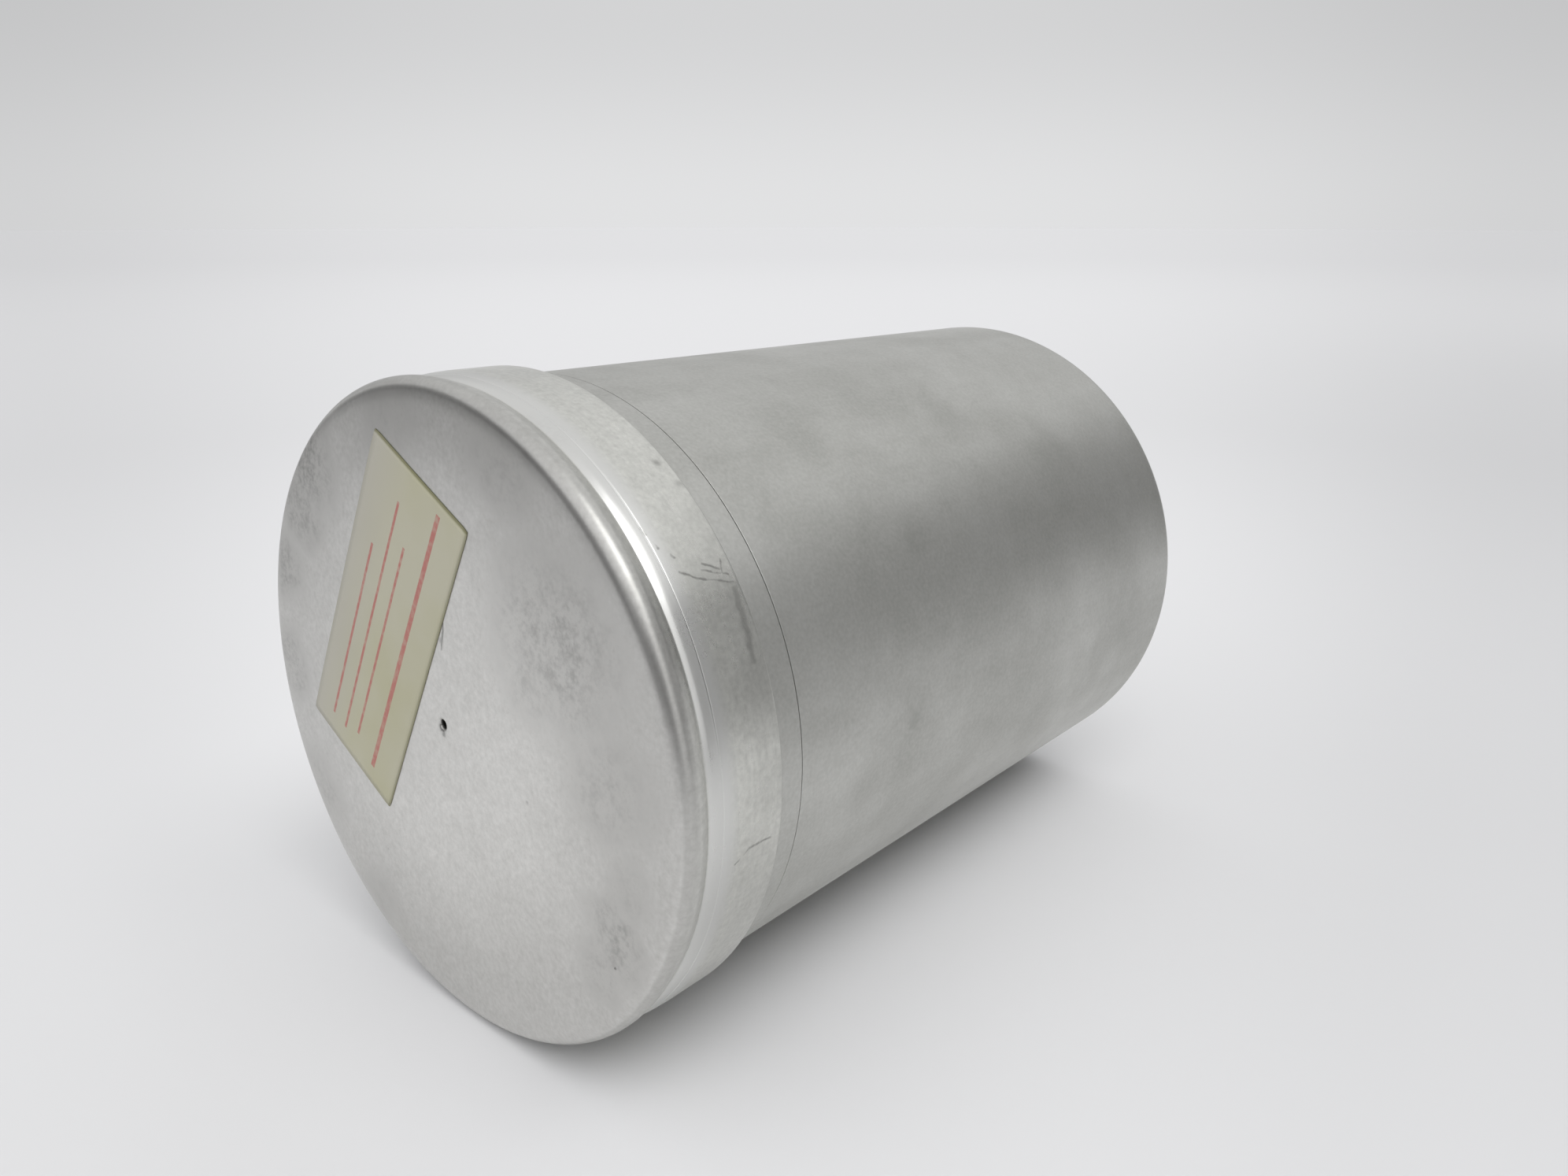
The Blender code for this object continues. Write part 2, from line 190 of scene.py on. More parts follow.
# adds a node with its links and settings, and hands back one of its outputs
def addNode(tree, kind, inputs, out=0, **settings):
    node = tree.nodes.new("ShaderNode" + kind)
    for name, value in settings.items():
        setattr(node, name, value)
    setInputs(tree, node, inputs)
    return node.outputs[out]


# a new material, its shader, and coordinates in metres along the standing dewar
def newMaterial(name, metallic):
    material = bpy.data.materials.new(name)
    material.use_nodes = True
    tree = material.node_tree
    surface = tree.nodes["Principled BSDF"]
    setInputs(tree, surface, {"Metallic": metallic})
    place = addNode(tree, "TexCoord", {}, "Object")
    standing = addNode(tree, "Mapping", {
        "Vector": place, "Location": axisPlace, "Rotation": axisTurn}, vector_type="TEXTURE")
    return material, tree, surface, standing


def perMetre(size):
    return 1 / (size * mm)


def strongest(tree, masks):
    mask = masks[0]
    for other in masks[1:]:
        mask = addNode(tree, "Math", {0: mask, 1: other}, operation="MAXIMUM")
    return mask


# soft round marks: x, y, z, radius and strength of each
def spotMask(tree, place, spots, core=0.15):
    masks = []
    for x, y, z, radius, strength in spots:
        middle = (x * mm, y * mm, z * mm)
        away = addNode(tree, "VectorMath", {0: place, 1: middle}, "Value", operation="DISTANCE")
        masks.append(addNode(tree, "MapRange", {
            "Value": away, "From Min": core * radius * mm, "From Max": radius * mm,
            "To Min": strength, "To Max": 0}, interpolation_type="SMOOTHSTEP"))
    return strongest(tree, masks)


# thin marks along straight strokes: both ends of each
def strokeMask(tree, place, strokes, width, strength, core=0.3):
    masks = []
    for start, stop in strokes:
        start, stop = Vector(start) * mm, Vector(stop) * mm
        run = stop - start
        fromStart = addNode(tree, "VectorMath", {0: place, 1: start}, operation="SUBTRACT")
        share = addNode(tree, "VectorMath", {
            0: fromStart, 1: run / run.length_squared}, "Value", operation="DOT_PRODUCT")
        held = addNode(tree, "Clamp", {"Value": share})
        foot = addNode(tree, "VectorMath", {0: run, "Scale": held}, operation="SCALE")
        away = addNode(tree, "VectorMath", {0: fromStart, 1: foot}, "Value", operation="DISTANCE")
        masks.append(addNode(tree, "MapRange", {
            "Value": away, "From Min": core * width * mm, "From Max": width * mm,
            "To Min": strength, "To Max": 0}))
    return strongest(tree, masks)


# a little noise added to a place, so that marks get ragged edges
def raggedPlace(tree, place, size, amount):
    wander = addNode(tree, "TexNoise", {"Vector": place, "Scale": perMetre(size), "Detail": 3}, "Color")
    centred = addNode(tree, "VectorMath", {0: wander, 1: (0.5, 0.5, 0.5)}, operation="SUBTRACT")
    return addNode(tree, "VectorMath", {
        0: centred, 1: (2 * amount * mm,) * 3, 2: place}, operation="MULTIPLY_ADD")


# an amount that changes with depth: where each change starts and stops, and the amount after it
def depthMask(tree, depth, changes):
    amount = 0
    for start, stop, after in changes:
        amount = addNode(tree, "MapRange", {
            "Value": depth, "From Min": start * mm, "From Max": stop * mm, "To Min": amount, "To Max": after})
    return amount


# fine lines that run round the axis, as a lathe leaves them
def lathedLines(tree, standing, size):
    parts = addNode(tree, "SeparateXYZ", {0: standing}).node.outputs
    flat = addNode(tree, "CombineXYZ", {"X": parts["X"], "Y": parts["Y"]})
    radius = addNode(tree, "VectorMath", {0: flat}, "Value", operation="LENGTH")
    reach = addNode(tree, "Math", {0: radius, 1: parts["Z"]}, operation="SUBTRACT")
    turn = addNode(tree, "Math", {0: parts["Y"], 1: parts["X"]}, operation="ARCTAN2")
    across = addNode(tree, "Math", {0: reach, 1: perMetre(size)}, operation="MULTIPLY")
    unrolled = addNode(tree, "CombineXYZ", {"X": across, "Y": turn})
    return addNode(tree, "TexNoise", {"Vector": unrolled, "Scale": 1, "Detail": 3}, "Fac")


# stainless steel, glass-bead blasted after turning: dull grey, faintly cloudy where the blast overlapped
blastedSteel = {
    "dark": "#a8a8a3",
    "pale": "#d0d0cc",
    "toneRange": (0.5, 1.35),
    "smudge": "#7d7d77",
    "cloud": 26,
    "streak": (7, 7, 46),
    "streakTurn": 0.4,
    "streakShare": 0.35,
    "grit": 0.6,  # real grit is near 0.1 mm, drawn coarser to show
    "gritShare": 0.5,
    "gritDepth": 0.025,
    "roughness": (0.48, 0.42),
    "smudges": [
        (-1.2, -50.8, 97.3, 2.4, 0.18), (26, -43.6, 88, 5, 0.12), (-10.5, -49.7, 108, 7, 0.14),
        (40, -31.3, 60, 9, 0.14), (33, -38.6, 36, 9, 0.12),
    ],
    "ragged": (7, 3),  # size and reach of the noise at the smudges' edges
}


def makeBlastedSteel():
    b = blastedSteel
    material, tree, surface, standing = newMaterial("blastedStainlessSteel", 1)
    cloud = addNode(tree, "TexNoise", {
        "Vector": standing, "Scale": perMetre(b["cloud"]), "Detail": 5,
        "Roughness": 0.6, "Distortion": 0.25}, "Fac")
    drawn = addNode(tree, "Mapping", {
        "Vector": standing, "Rotation": (0, 0, b["streakTurn"]),
        "Scale": tuple(perMetre(size) for size in b["streak"])})
    streak = addNode(tree, "TexNoise", {"Vector": drawn, "Scale": 1, "Detail": 3}, "Fac")
    grit = addNode(tree, "TexNoise", {"Vector": standing, "Scale": perMetre(b["grit"]), "Detail": 2}, "Fac")
    uneven = addNode(tree, "Math", {0: streak, 1: b["streakShare"], 2: cloud}, operation="MULTIPLY_ADD")
    grainy = addNode(tree, "Math", {0: grit, 1: b["gritShare"], 2: uneven}, operation="MULTIPLY_ADD")
    least, most = b["toneRange"]
    tone = addNode(tree, "MapRange", {"Value": grainy, "From Min": least, "From Max": most})
    colour = addNode(tree, "Mix", {0: tone, 6: b["dark"], 7: b["pale"]}, 2, data_type="RGBA")
    smudge = spotMask(tree, raggedPlace(tree, standing, *b["ragged"]), b["smudges"])
    smudged = addNode(tree, "Mix", {0: smudge, 6: colour, 7: b["smudge"]}, 2, data_type="RGBA")
    dull, smooth = b["roughness"]
    rough = addNode(tree, "MapRange", {
        "Value": uneven, "From Min": 0.5, "From Max": 0.85, "To Min": dull, "To Max": smooth})
    bump = addNode(tree, "Bump", {"Height": grit, "Strength": 0.3, "Distance": b["gritDepth"] * mm})
    setInputs(tree, surface, {"Base Color": smudged, "Roughness": rough, "Normal": bump})
    return material


# aluminium sheet, spun and blasted: paler and softer than the steel, with handling marks
# depths are millimetres below the face
spunAluminium = {
    "face": ("#cdccc8", "#f0efec"),  # dull and clean
    "skirt": ("#b7b7b2", "#e4e4de"),
    "skirtDepth": [(0.4, 4, 1)],
    "toneRange": (0.46, 1.34),
    "edgeShadeAndTarnish": (18, 46, 0.19),  # the face darkens from this radius to this one, by this much: partly tarnish, partly painted shade standing for the rolled edge's darker reflection
    "sag": (38, 52.5, 0.45),  # and curves away from this radius to this one, by this much
    # painted shade with some dirt: it starts on the rolled shoulder, thins along the land and stops at the
    # bead's foot
    "grooveShadeAndDirt": [(0.15, 0.8, 0.32), (2.1, 2.9, 0.19), (4.7, 5, 0)],
    # colour of every mark, the real ones and the painted shade alike
    "mark": "#5f5e5b",
    "cloud": 28,
    "blot": 2.6,
    "speck": 0.8,
    "shares": (0.4, 0.45, 0.85),  # of clouds, blots and specks in the tone
    "lathe": 0.5,
    "latheShare": (0.04, 0.3),  # on the face, where the blast has all but hidden the lines, and on the skirt
    "latheDepth": 1.6,  # set against that of the specks
    "relief": (0.3, 0.1),  # on the face and on the skirt
    "reliefDepth": 0.03,
    "roughness": (0.43, 0.36),
    "skirtSmoother": 0.09,
    # tarnished patches on the face and round its edge
    "patches": [
        (20, -28, 149, 21, 0.28), (13, -24, 149, 12, 0.24), (2, -38, 149, 14, 0.2),
        (-12, -42, 149, 8, 0.16), (-20, -38.5, 149, 9, 0.28), (-27, -35, 149, 7, 0.2),
        (36, 33, 149, 12, 0.36), (28, 37.5, 149, 10, 0.3), (16, 44, 149, 9, 0.3),
        (-2, 47, 149, 10, 0.24), (-24, 40, 149, 11, 0.18), (-40, 24, 149, 9, 0.14),
        (45, 8, 149, 11, 0.14), (42, -19, 149, 12, 0.16), (-6, 16, 149, 12, 0.08),
    ],
    # soft stains on the skirt, most of them towards its rear edge; the ones on its lower side are painted
    # shade where the skirt mirrors the floor's shadow
    "stainsAndShade": [
        (30, -42.5, 130, 15, 0.18), (14, -50, 130, 11, 0.2), (0, -52.3, 131, 9, 0.16),
        (-15, -50.2, 136, 19, 0.24), (-30, -43, 140, 14, 0.1),
    ],
    # pits and dots; the one sunk below the face's middle is painted shade inside the vent hole
    "pitsAndVentShade": [
        (42.3, -31, 132.2, 1, 0.45), (39.6, -34.3, 131.2, 1.1, 0.25), (-25.2, -38.1, 149, 0.55, 0.8),
        (13.9, -1.7, 149.2, 0.9, 0.4), (0, 0, 147.6, 2.1, 1), (-1.5, -0.3, 149.1, 0.7, 0.5),
        (15.6, -27.6, 149, 1.3, 0.35), (16.9, -25.4, 149, 0.8, 0.3), (14.4, -29.4, 149, 0.8, 0.3),
        (-29, 20, 149, 0.6, 0.3), (-6, -20.5, 149, 0.5, 0.3),
    ],
    # fine scratches on the skirt and one by the vent
    "scratches": [
        ((30.7, -42.5, 139.3), (29.5, -43.4, 136.8)), ((30.9, -42.4, 135.2), (29.9, -43.2, 132.7)),
        ((30.3, -42.9, 135.7), (29.1, -43.7, 131.8)), ((29.5, -43.4, 136.8), (28.1, -44.4, 131.6)),
        ((31, -42.4, 131.9), (29.5, -43.4, 132.5)), ((36.1, -37.8, 141.6), (35.3, -38.5, 141.5)),
        ((34.2, -39.1, 140.9), (33.6, -39.8, 140.8)), ((32.9, -40.9, 139.4), (32.4, -41.3, 139.1)),
        ((-7.9, -51.9, 139.2), (-6.4, -52.1, 136.8)), ((-6.4, -52.1, 136.8), (-6.6, -52.1, 132.4)),
        ((16.9, -2.6, 149.2), (12.6, -1.6, 149.2)),
    ],
    "scratch": (0.3, 0.62),  # width and strength
    # a painted shade line beside the skirt's rear edge, where it steps down to the collar
    "edgeShadeLines": [((27.2, -44.9, 131.6), (23.3, -47, 132.3)), ((23.3, -47, 132.3), (18.4, -49.2, 132.6))],
    "edgeShadeLine": (0.9, 0.4),
    # size and reach of the noise at the edges of patches, of dots and scratches, and of the painted shade
    # line
    "raggedPatch": (9, 5),
    "raggedDot": (1.4, 0.3),
    "raggedEdgeShade": (1.8, 0.7),
    # the bead and crease are lighter: partly worn by handling, partly a painted highlight
    "worn": "#dadad7",
    "wearAndSheenDepth": [(4.7, 5.3, 1), (8, 10.2, 0)],
}


def makeSpunAluminium():
    a = spunAluminium
    material, tree, surface, standing = newMaterial("spunAluminium", 1)
    cloud = addNode(tree, "TexNoise", {"Vector": standing, "Scale": perMetre(a["cloud"]), "Detail": 3}, "Fac")
    blot = addNode(tree, "TexNoise", {
        "Vector": standing, "Scale": perMetre(a["blot"]), "Detail": 4, "Roughness": 0.65}, "Fac")
    speck = addNode(tree, "TexNoise", {
        "Vector": standing, "Scale": perMetre(a["speck"]), "Detail": 3, "Roughness": 0.6}, "Fac")
    # the skirt is greyer from handling and shows its lathe lines
    height = addNode(tree, "SeparateXYZ", {0: standing}, "Z")
    depth = addNode(tree, "Math", {0: lying["coverFace"] * mm, 1: height}, operation="SUBTRACT")
    onSkirt = depthMask(tree, depth, a["skirtDepth"])
    faint, clear = a["latheShare"]
    strength = addNode(tree, "MapRange", {"Value": onSkirt, "To Min": faint, "To Max": clear})
    lines = lathedLines(tree, standing, a["lathe"])
    lathe = addNode(tree, "Math", {0: lines, 1: strength}, operation="MULTIPLY")
    clouds, blots, specks = a["shares"]
    uneven = addNode(tree, "Math", {0: cloud, 1: clouds, 2: lathe}, operation="MULTIPLY_ADD")
    blotted = addNode(tree, "Math", {0: blot, 1: blots, 2: uneven}, operation="MULTIPLY_ADD")
    grainy = addNode(tree, "Math", {0: speck, 1: specks, 2: blotted}, operation="MULTIPLY_ADD")
    least, most = a["toneRange"]
    tone = addNode(tree, "MapRange", {"Value": grainy, "From Min": least, "From Max": most})
    tones = [addNode(tree, "Mix", {0: tone, 6: dull, 7: clean}, 2, data_type="RGBA")
             for dull, clean in (a["face"], a["skirt"])]
    colour = addNode(tree, "Mix", {0: onSkirt, 6: tones[0], 7: tones[1]}, 2, data_type="RGBA")
    # lighter bead and crease: wear and a painted highlight
    worn = depthMask(tree, depth, a["wearAndSheenDepth"])
    wornAndSheened = addNode(tree, "Mix", {0: worn, 6: colour, 7: a["worn"]}, 2, data_type="RGBA")
    # the face darkens towards its edge: partly tarnish, partly painted shade
    ringFrom, ringTo, ringMost = a["edgeShadeAndTarnish"]
    fromMiddle = addNode(tree, "VectorMath", {
        0: standing, 1: (0, 0, lying["coverFace"] * mm)}, "Value", operation="DISTANCE")
    edgeRing = addNode(tree, "MapRange", {
        "Value": fromMiddle, "From Min": ringFrom * mm, "From Max": ringTo * mm, "To Max": ringMost,
    }, interpolation_type="SMOOTHSTEP")
    edgeShadeAndTarnish = addNode(tree, "MapRange", {"Value": onSkirt, "To Min": edgeRing, "To Max": 0})
    # tarnish breaks up into blots and specks; the smooth edge darkening, partly painted shade, is added to it
    patch = spotMask(tree, raggedPlace(tree, standing, *a["raggedPatch"]), a["patches"])
    broken = addNode(tree, "Math", {0: blot, 1: speck}, operation="ADD")
    speckled = addNode(tree, "MapRange", {
        "Value": broken, "From Min": 0.85, "From Max": 1.25, "To Min": 0.1, "To Max": 1.3})
    tarnishAndEdgeShade = addNode(tree, "Math", {0: patch, 1: speckled, 2: edgeShadeAndTarnish}, operation="MULTIPLY_ADD")
    nearby = raggedPlace(tree, standing, *a["raggedDot"])
    # the marks: real tarnish, stains, pits and scratches, and painted shade in the groove, at the face's
    # edge, inside the vent and beside the skirt's rear edge
    marks = strongest(tree, [
        tarnishAndEdgeShade,
        # painted shade in the groove between face and bead, with some dirt
        depthMask(tree, depth, a["grooveShadeAndDirt"]),
        # stains, and painted shade on the skirt's lower side
        spotMask(tree, standing, a["stainsAndShade"]),
        # pits, and painted shade inside the vent hole
        spotMask(tree, nearby, a["pitsAndVentShade"]),
        strokeMask(tree, nearby, a["scratches"], *a["scratch"]),
        # painted shade beside the skirt's rear edge
        strokeMask(tree, raggedPlace(tree, standing, *a["raggedEdgeShade"]), a["edgeShadeLines"], *a["edgeShadeLine"]),
    ])
    marked = addNode(tree, "Mix", {0: marks, 6: wornAndSheened, 7: a["mark"]}, 2, data_type="RGBA")
    dull, smooth = a["roughness"]
    rough = addNode(tree, "MapRange", {
        "Value": blotted, "From Min": 0.25, "From Max": 0.7, "To Min": dull, "To Max": smooth})
    smoother = addNode(tree, "Math", {0: onSkirt, 1: -a["skirtSmoother"], 2: rough}, operation="MULTIPLY_ADD")
    tooled = addNode(tree, "Math", {0: lathe, 1: a["latheDepth"], 2: speck}, operation="MULTIPLY_ADD")
    reliefFace, reliefSkirt = a["relief"]
    relief = addNode(tree, "MapRange", {"Value": onSkirt, "To Min": reliefFace, "To Max": reliefSkirt})
    grain = addNode(tree, "Bump", {"Height": tooled, "Strength": relief, "Distance": a["reliefDepth"] * mm})
    # the sheet sags very slightly out to the rim, more than the shape has room for
    sagFrom, sagTo, sag = a["sag"]
    sagged = addNode(tree, "MapRange", {
        "Value": fromMiddle, "From Min": sagFrom * mm, "From Max": sagTo * mm, "To Max": -sag,
    }, interpolation_type="SMOOTHSTEP")
    bump = addNode(tree, "Bump", {"Height": sagged, "Strength": 1, "Distance": mm, "Normal": grain})
    setInputs(tree, surface, {"Base Color": marked, "Roughness": smoother, "Normal": bump})
    return material


# bright steel with tool lines: drawn along the axis, or turned round it
linedSteels = {
    # name: roughness, dark, pale, line width, line length (none for turned work)
    "drawnStainlessSteel": (0.3, "#a9a8a4", "#c9c8c4", 0.8, 40),
    "turnedStainlessSteel": (0.43, "#bcbcb8", "#cacac7", 0.35, None),
}
lineSpread = 0.06  # how far the lines change the roughness
lineDepth = 0.02


def makeLinedSteel(name):
    roughness, dark, pale, width, length = linedSteels[name]
    material, tree, surface, standing = newMaterial(name, 1)
    if length:
        stretched = addNode(tree, "Mapping", {
            "Vector": standing, "Scale": (perMetre(width), perMetre(width), perMetre(length))})
        lines = addNode(tree, "TexNoise", {"Vector": stretched, "Scale": 1, "Detail": 3}, "Fac")
    else:
        lines = lathedLines(tree, standing, width)
    colour = addNode(tree, "Mix", {0: lines, 6: dark, 7: pale}, 2, data_type="RGBA")
    rough = addNode(tree, "MapRange", {
        "Value": lines, "From Min": 0.3, "From Max": 0.7,
        "To Min": roughness - lineSpread, "To Max": roughness + lineSpread})
    bump = addNode(tree, "Bump", {"Height": lines, "Strength": 0.1, "Distance": lineDepth * mm})
    setInputs(tree, surface, {"Base Color": colour, "Roughness": rough, "Normal": bump})
    return material


# materials whose look is two colours and a grain: one line each
grainFinishes = {
    # name: metallic, roughness, dark, pale, texture, grain size, bump depth
    "mouldedBlackRubber": (0, 0.62, "#161616", "#262625", "TexNoise", 1.1, 0.05),
    "closedCellFoam": (0, 0.88, "#cfc6ae", "#ebe5d3", "TexVoronoi", 2.4, 0.16),
    "softCopper": (1, 0.34, "#9c5a3c", "#d08a63", "TexNoise", 3, 0.02),
    "redVinyl": (0, 0.42, "#8e1d18", "#b02a22", "TexNoise", 2, 0.03),
    "aluminisedFilm": (1, 0.16, "#c8c8ca", "#ececee", "TexVoronoi", 6, 0.12),
    "glassPaper": (0, 0.92, "#d9d4c6", "#efebe0", "TexNoise", 0.6, 0.05),
    "glassLaminate": (0, 0.55, "#6f7d3a", "#98a35c", "TexChecker", 1.2, 0.02),
    "activatedCharcoal": (0, 0.95, "#0d0d0d", "#232323", "TexVoronoi", 1.4, 0.3),
}
blotchSize = 9  # grains across one blotch
blotchSpread = (0.86, 1.12)  # how far the blotches change the roughness


def makeGrain(name):
    metallic, roughness, dark, pale, texture, size, depth = grainFinishes[name]
    material, tree, surface, standing = newMaterial(name, metallic)
    amount = addNode(tree, texture, {
        "Vector": standing, "Scale": perMetre(size)}, "Distance" if texture == "TexVoronoi" else "Fac")
    blotch = addNode(tree, "TexNoise", {
        "Vector": standing, "Scale": perMetre(size * blotchSize), "Detail": 3}, "Fac")
    both = addNode(tree, "Math", {0: amount, 1: blotch}, operation="ADD")
    tone = addNode(tree, "MapRange", {"Value": both, "From Min": 0.5, "From Max": 1.3})
    colour = addNode(tree, "Mix", {0: tone, 6: dark, 7: pale}, 2, data_type="RGBA")
    smooth, dull = (min(1, roughness * share) for share in blotchSpread)
    rough = addNode(tree, "MapRange", {
        "Value": blotch, "From Min": 0.3, "From Max": 0.7, "To Min": smooth, "To Max": dull})
    bump = addNode(tree, "Bump", {"Height": amount, "Strength": 0.5, "Distance": depth * mm})
    setInputs(tree, surface, {"Base Color": colour, "Roughness": rough, "Normal": bump})
    return material


# gummed paper, aged to a grey cream, printed with plain red ruled lines
ruledPaper = {
    "cream": "#b7b4a0",
    "yellowed": "#b1ae92",
    "faded": "#b1aea4",
    # colour of the browned gum and the painted edge shadow
    "edge": "#66653f",
    "ink": "#b0635d",
    "roughness": 0.5,
    "fibre": 1.1,
    "fibreDepth": 0.02,
    "ageing": 16,
    # each rule: distance from the right edge, thickness, start and end along the length
    "rules": [(6.7, 0.9, 3.5, 57.5), (12.2, 0.45, 6, 47), (15.8, 0.45, 4, 53), (19.6, 0.45, 4, 42)],
    "bleed": 0.12,  # softness of a rule's edge
    # the top and right edges darken: partly browned gum, partly a painted shadow of the label's raised edge.
    # Each starts and is full this far from the edge, and darkens by this much
    "topGumAndShadow": (0.7, 0.25, 0.8),
    "rightGumAndShadow": (0.6, 0.1, 0.5),
}


def makeRuledPaper(length, width):
    r = ruledPaper
    material, tree, surface, standing = newMaterial("gummedPaper", 0)
    uv = addNode(tree, "SeparateXYZ", {0: addNode(tree, "UVMap", {}, "UV")}).node.outputs
    fibre = addNode(tree, "TexNoise", {"Vector": standing, "Scale": perMetre(r["fibre"]), "Detail": 4}, "Fac")
    age = addNode(tree, "TexNoise", {"Vector": standing, "Scale": perMetre(r["ageing"]), "Detail": 3}, "Fac")
    aged = addNode(tree, "MapRange", {"Value": age, "From Min": 0.35, "From Max": 0.7})
    paper = addNode(tree, "Mix", {0: aged, 6: r["cream"], 7: r["yellowed"]}, 2, data_type="RGBA")
    # the left side has worn thin and lets the metal's grey through
    thin = addNode(tree, "Math", {0: age, 1: -0.3, 2: uv["Y"]}, operation="MULTIPLY_ADD")
    worn = addNode(tree, "MapRange", {
        "Value": thin, "From Min": -0.1, "From Max": 0.3, "To Min": 0.8, "To Max": 0})
    faded = addNode(tree, "Mix", {0: worn, 6: paper, 7: r["faded"]}, 2, data_type="RGBA")
    rules = []
    for fromEdge, thick, begin, end in r["rules"]:
        offLine = addNode(tree, "Math", {0: uv["Y"], 1: 1 - fromEdge / width}, operation="SUBTRACT")
        away = addNode(tree, "Math", {0: offLine}, operation="ABSOLUTE")
        stroke = addNode(tree, "MapRange", {
            "Value": away, "From Min": thick / 2 / width, "From Max": (thick / 2 + r["bleed"]) / width,
            "To Min": 1, "To Max": 0})
        offMiddle = addNode(tree, "Math", {0: uv["X"], 1: (begin + end) / 2 / length}, operation="SUBTRACT")
        along = addNode(tree, "Math", {0: offMiddle}, operation="ABSOLUTE")
        within = addNode(tree, "Math", {0: along, 1: (end - begin) / 2 / length}, operation="LESS_THAN")
        rules.append(addNode(tree, "Math", {0: stroke, 1: within}, operation="MULTIPLY"))
    patchy = addNode(tree, "MapRange", {
        "Value": fibre, "From Min": 0.3, "From Max": 0.55, "To Min": 0.5, "To Max": 0.9})
    ink = addNode(tree, "Math", {0: strongest(tree, rules), 1: patchy}, operation="MULTIPLY")
    printed = addNode(tree, "Mix", {0: ink, 6: faded, 7: r["ink"]}, 2, data_type="RGBA")
    # browned gum and a painted shadow along the top and right edges
    gumAndShadow = []
    for axis, run, name in (("X", length, "topGumAndShadow"), ("Y", width, "rightGumAndShadow")):
        start, full, amount = r[name]
        gumAndShadow.append(addNode(tree, "MapRange", {
            "Value": uv[axis], "From Min": 1 - start / run, "From Max": 1 - full / run, "To Max": amount}))
    brownedAndShaded = addNode(tree, "Mix", {0: strongest(tree, gumAndShadow), 6: printed, 7: r["edge"]}, 2, data_type="RGBA")
    bump = addNode(tree, "Bump", {"Height": fibre, "Strength": 0.3, "Distance": r["fibreDepth"] * mm})
    setInputs(tree, surface, {"Base Color": brownedAndShaded, "Roughness": r["roughness"], "Normal": bump})
    return material


def dress(piece, material):
    piece.data.materials.append(material)


finishes = {name: makeGrain(name) for name in grainFinishes}
finishes.update({name: makeLinedSteel(name) for name in linedSteels})
finishes["blastedSteel"] = makeBlastedSteel()
finishes["spunAluminium"] = makeSpunAluminium()
print("materials made:", len(finishes))


# the cover: spun over a former, so its edges are soft and nothing on it is quite true
cover = {
    "face": lying["coverFace"],
    "rise": 0.22,
    "dome": 0.18,
    "flatTo": 47.5,
    "faceRows": [4, 8, 12, 16, 20, 24, 28, 32, 36, 40, 43, 45, 46.5, 47.5],
    "bendFrom": 50.4,
    "bendMiddle": (50.16, 2.43),
    "bend": 2.31,
    "bendStop": 4,
    "radius": lying["coverRadius"],
    "edgeBend": 0.3,
    "hem": [(51.25, 0), (51.05, 0.12)],  # the skirt edge's inner corner: radius, height
    "sheet": 1.5,
    "vent": 0.8,
    "dimple": [(0, 0.7), (0, 0.42), (0.12, 0.2), (0.45, 0.07), (0.95, 0)],  # out from the vent, depth
    "untrue": 0.05,
    "untrueFrom": 51.3,  # the inside stays true
    "untrueWave": (2.2, 9),  # round the cover, and along it in millimetres
    "untrueInward": 0.35,  # keeps it inside the solid
    # (radius, drop below the face): the land, the bead from its foot, the thin crease, the skirt's front
    "rollLine": [
        (52.47, 2.43), (52.45, 2.8), (52.37, 3.2), (52.16, 3.8), (51.92, 4.4), (51.76, 4.82), (51.72, 5),
        (51.77, 5.16), (51.9, 5.46), (52.04, 5.86), (52.13, 6.3), (52.19, 6.75), (52.23, 7.1), (52.2, 7.18),
        (52.12, 7.26), (52.18, 7.34), (52.26, 7.46), (52.33, 8), (52.39, 8.6), (52.44, 9.3), (52.48, 10.2),
        (52.5, 11.2),
    ],
    # (radius, drop, bend) up the inside of the sheet
    "innerLine": [(51, 18.2), (51, 9, 0.5), (50.7, 7.9, 0.4), (50.7, 6.2, 0.5), (50.1, 5, 0.5),
                  (50.7, 3, 0.5), (50.6, 2.1, 0.3), (50, 1.55, 0.3), (47.5, 1.5, 2)],
}


def faceHeight(radius):
    return cover["face"] + cover["rise"] - cover["dome"] * (radius / cover["flatTo"]) ** 6


def untrueCover(angle, radius, height):
    if radius < cover["untrueFrom"]:
        return 0
    around, along = cover["untrueWave"]
    spot = Vector((math.cos(angle) * around, math.sin(angle) * around, height / along))
    return cover["untrue"] * (noise.noise(spot) - cover["untrueInward"])


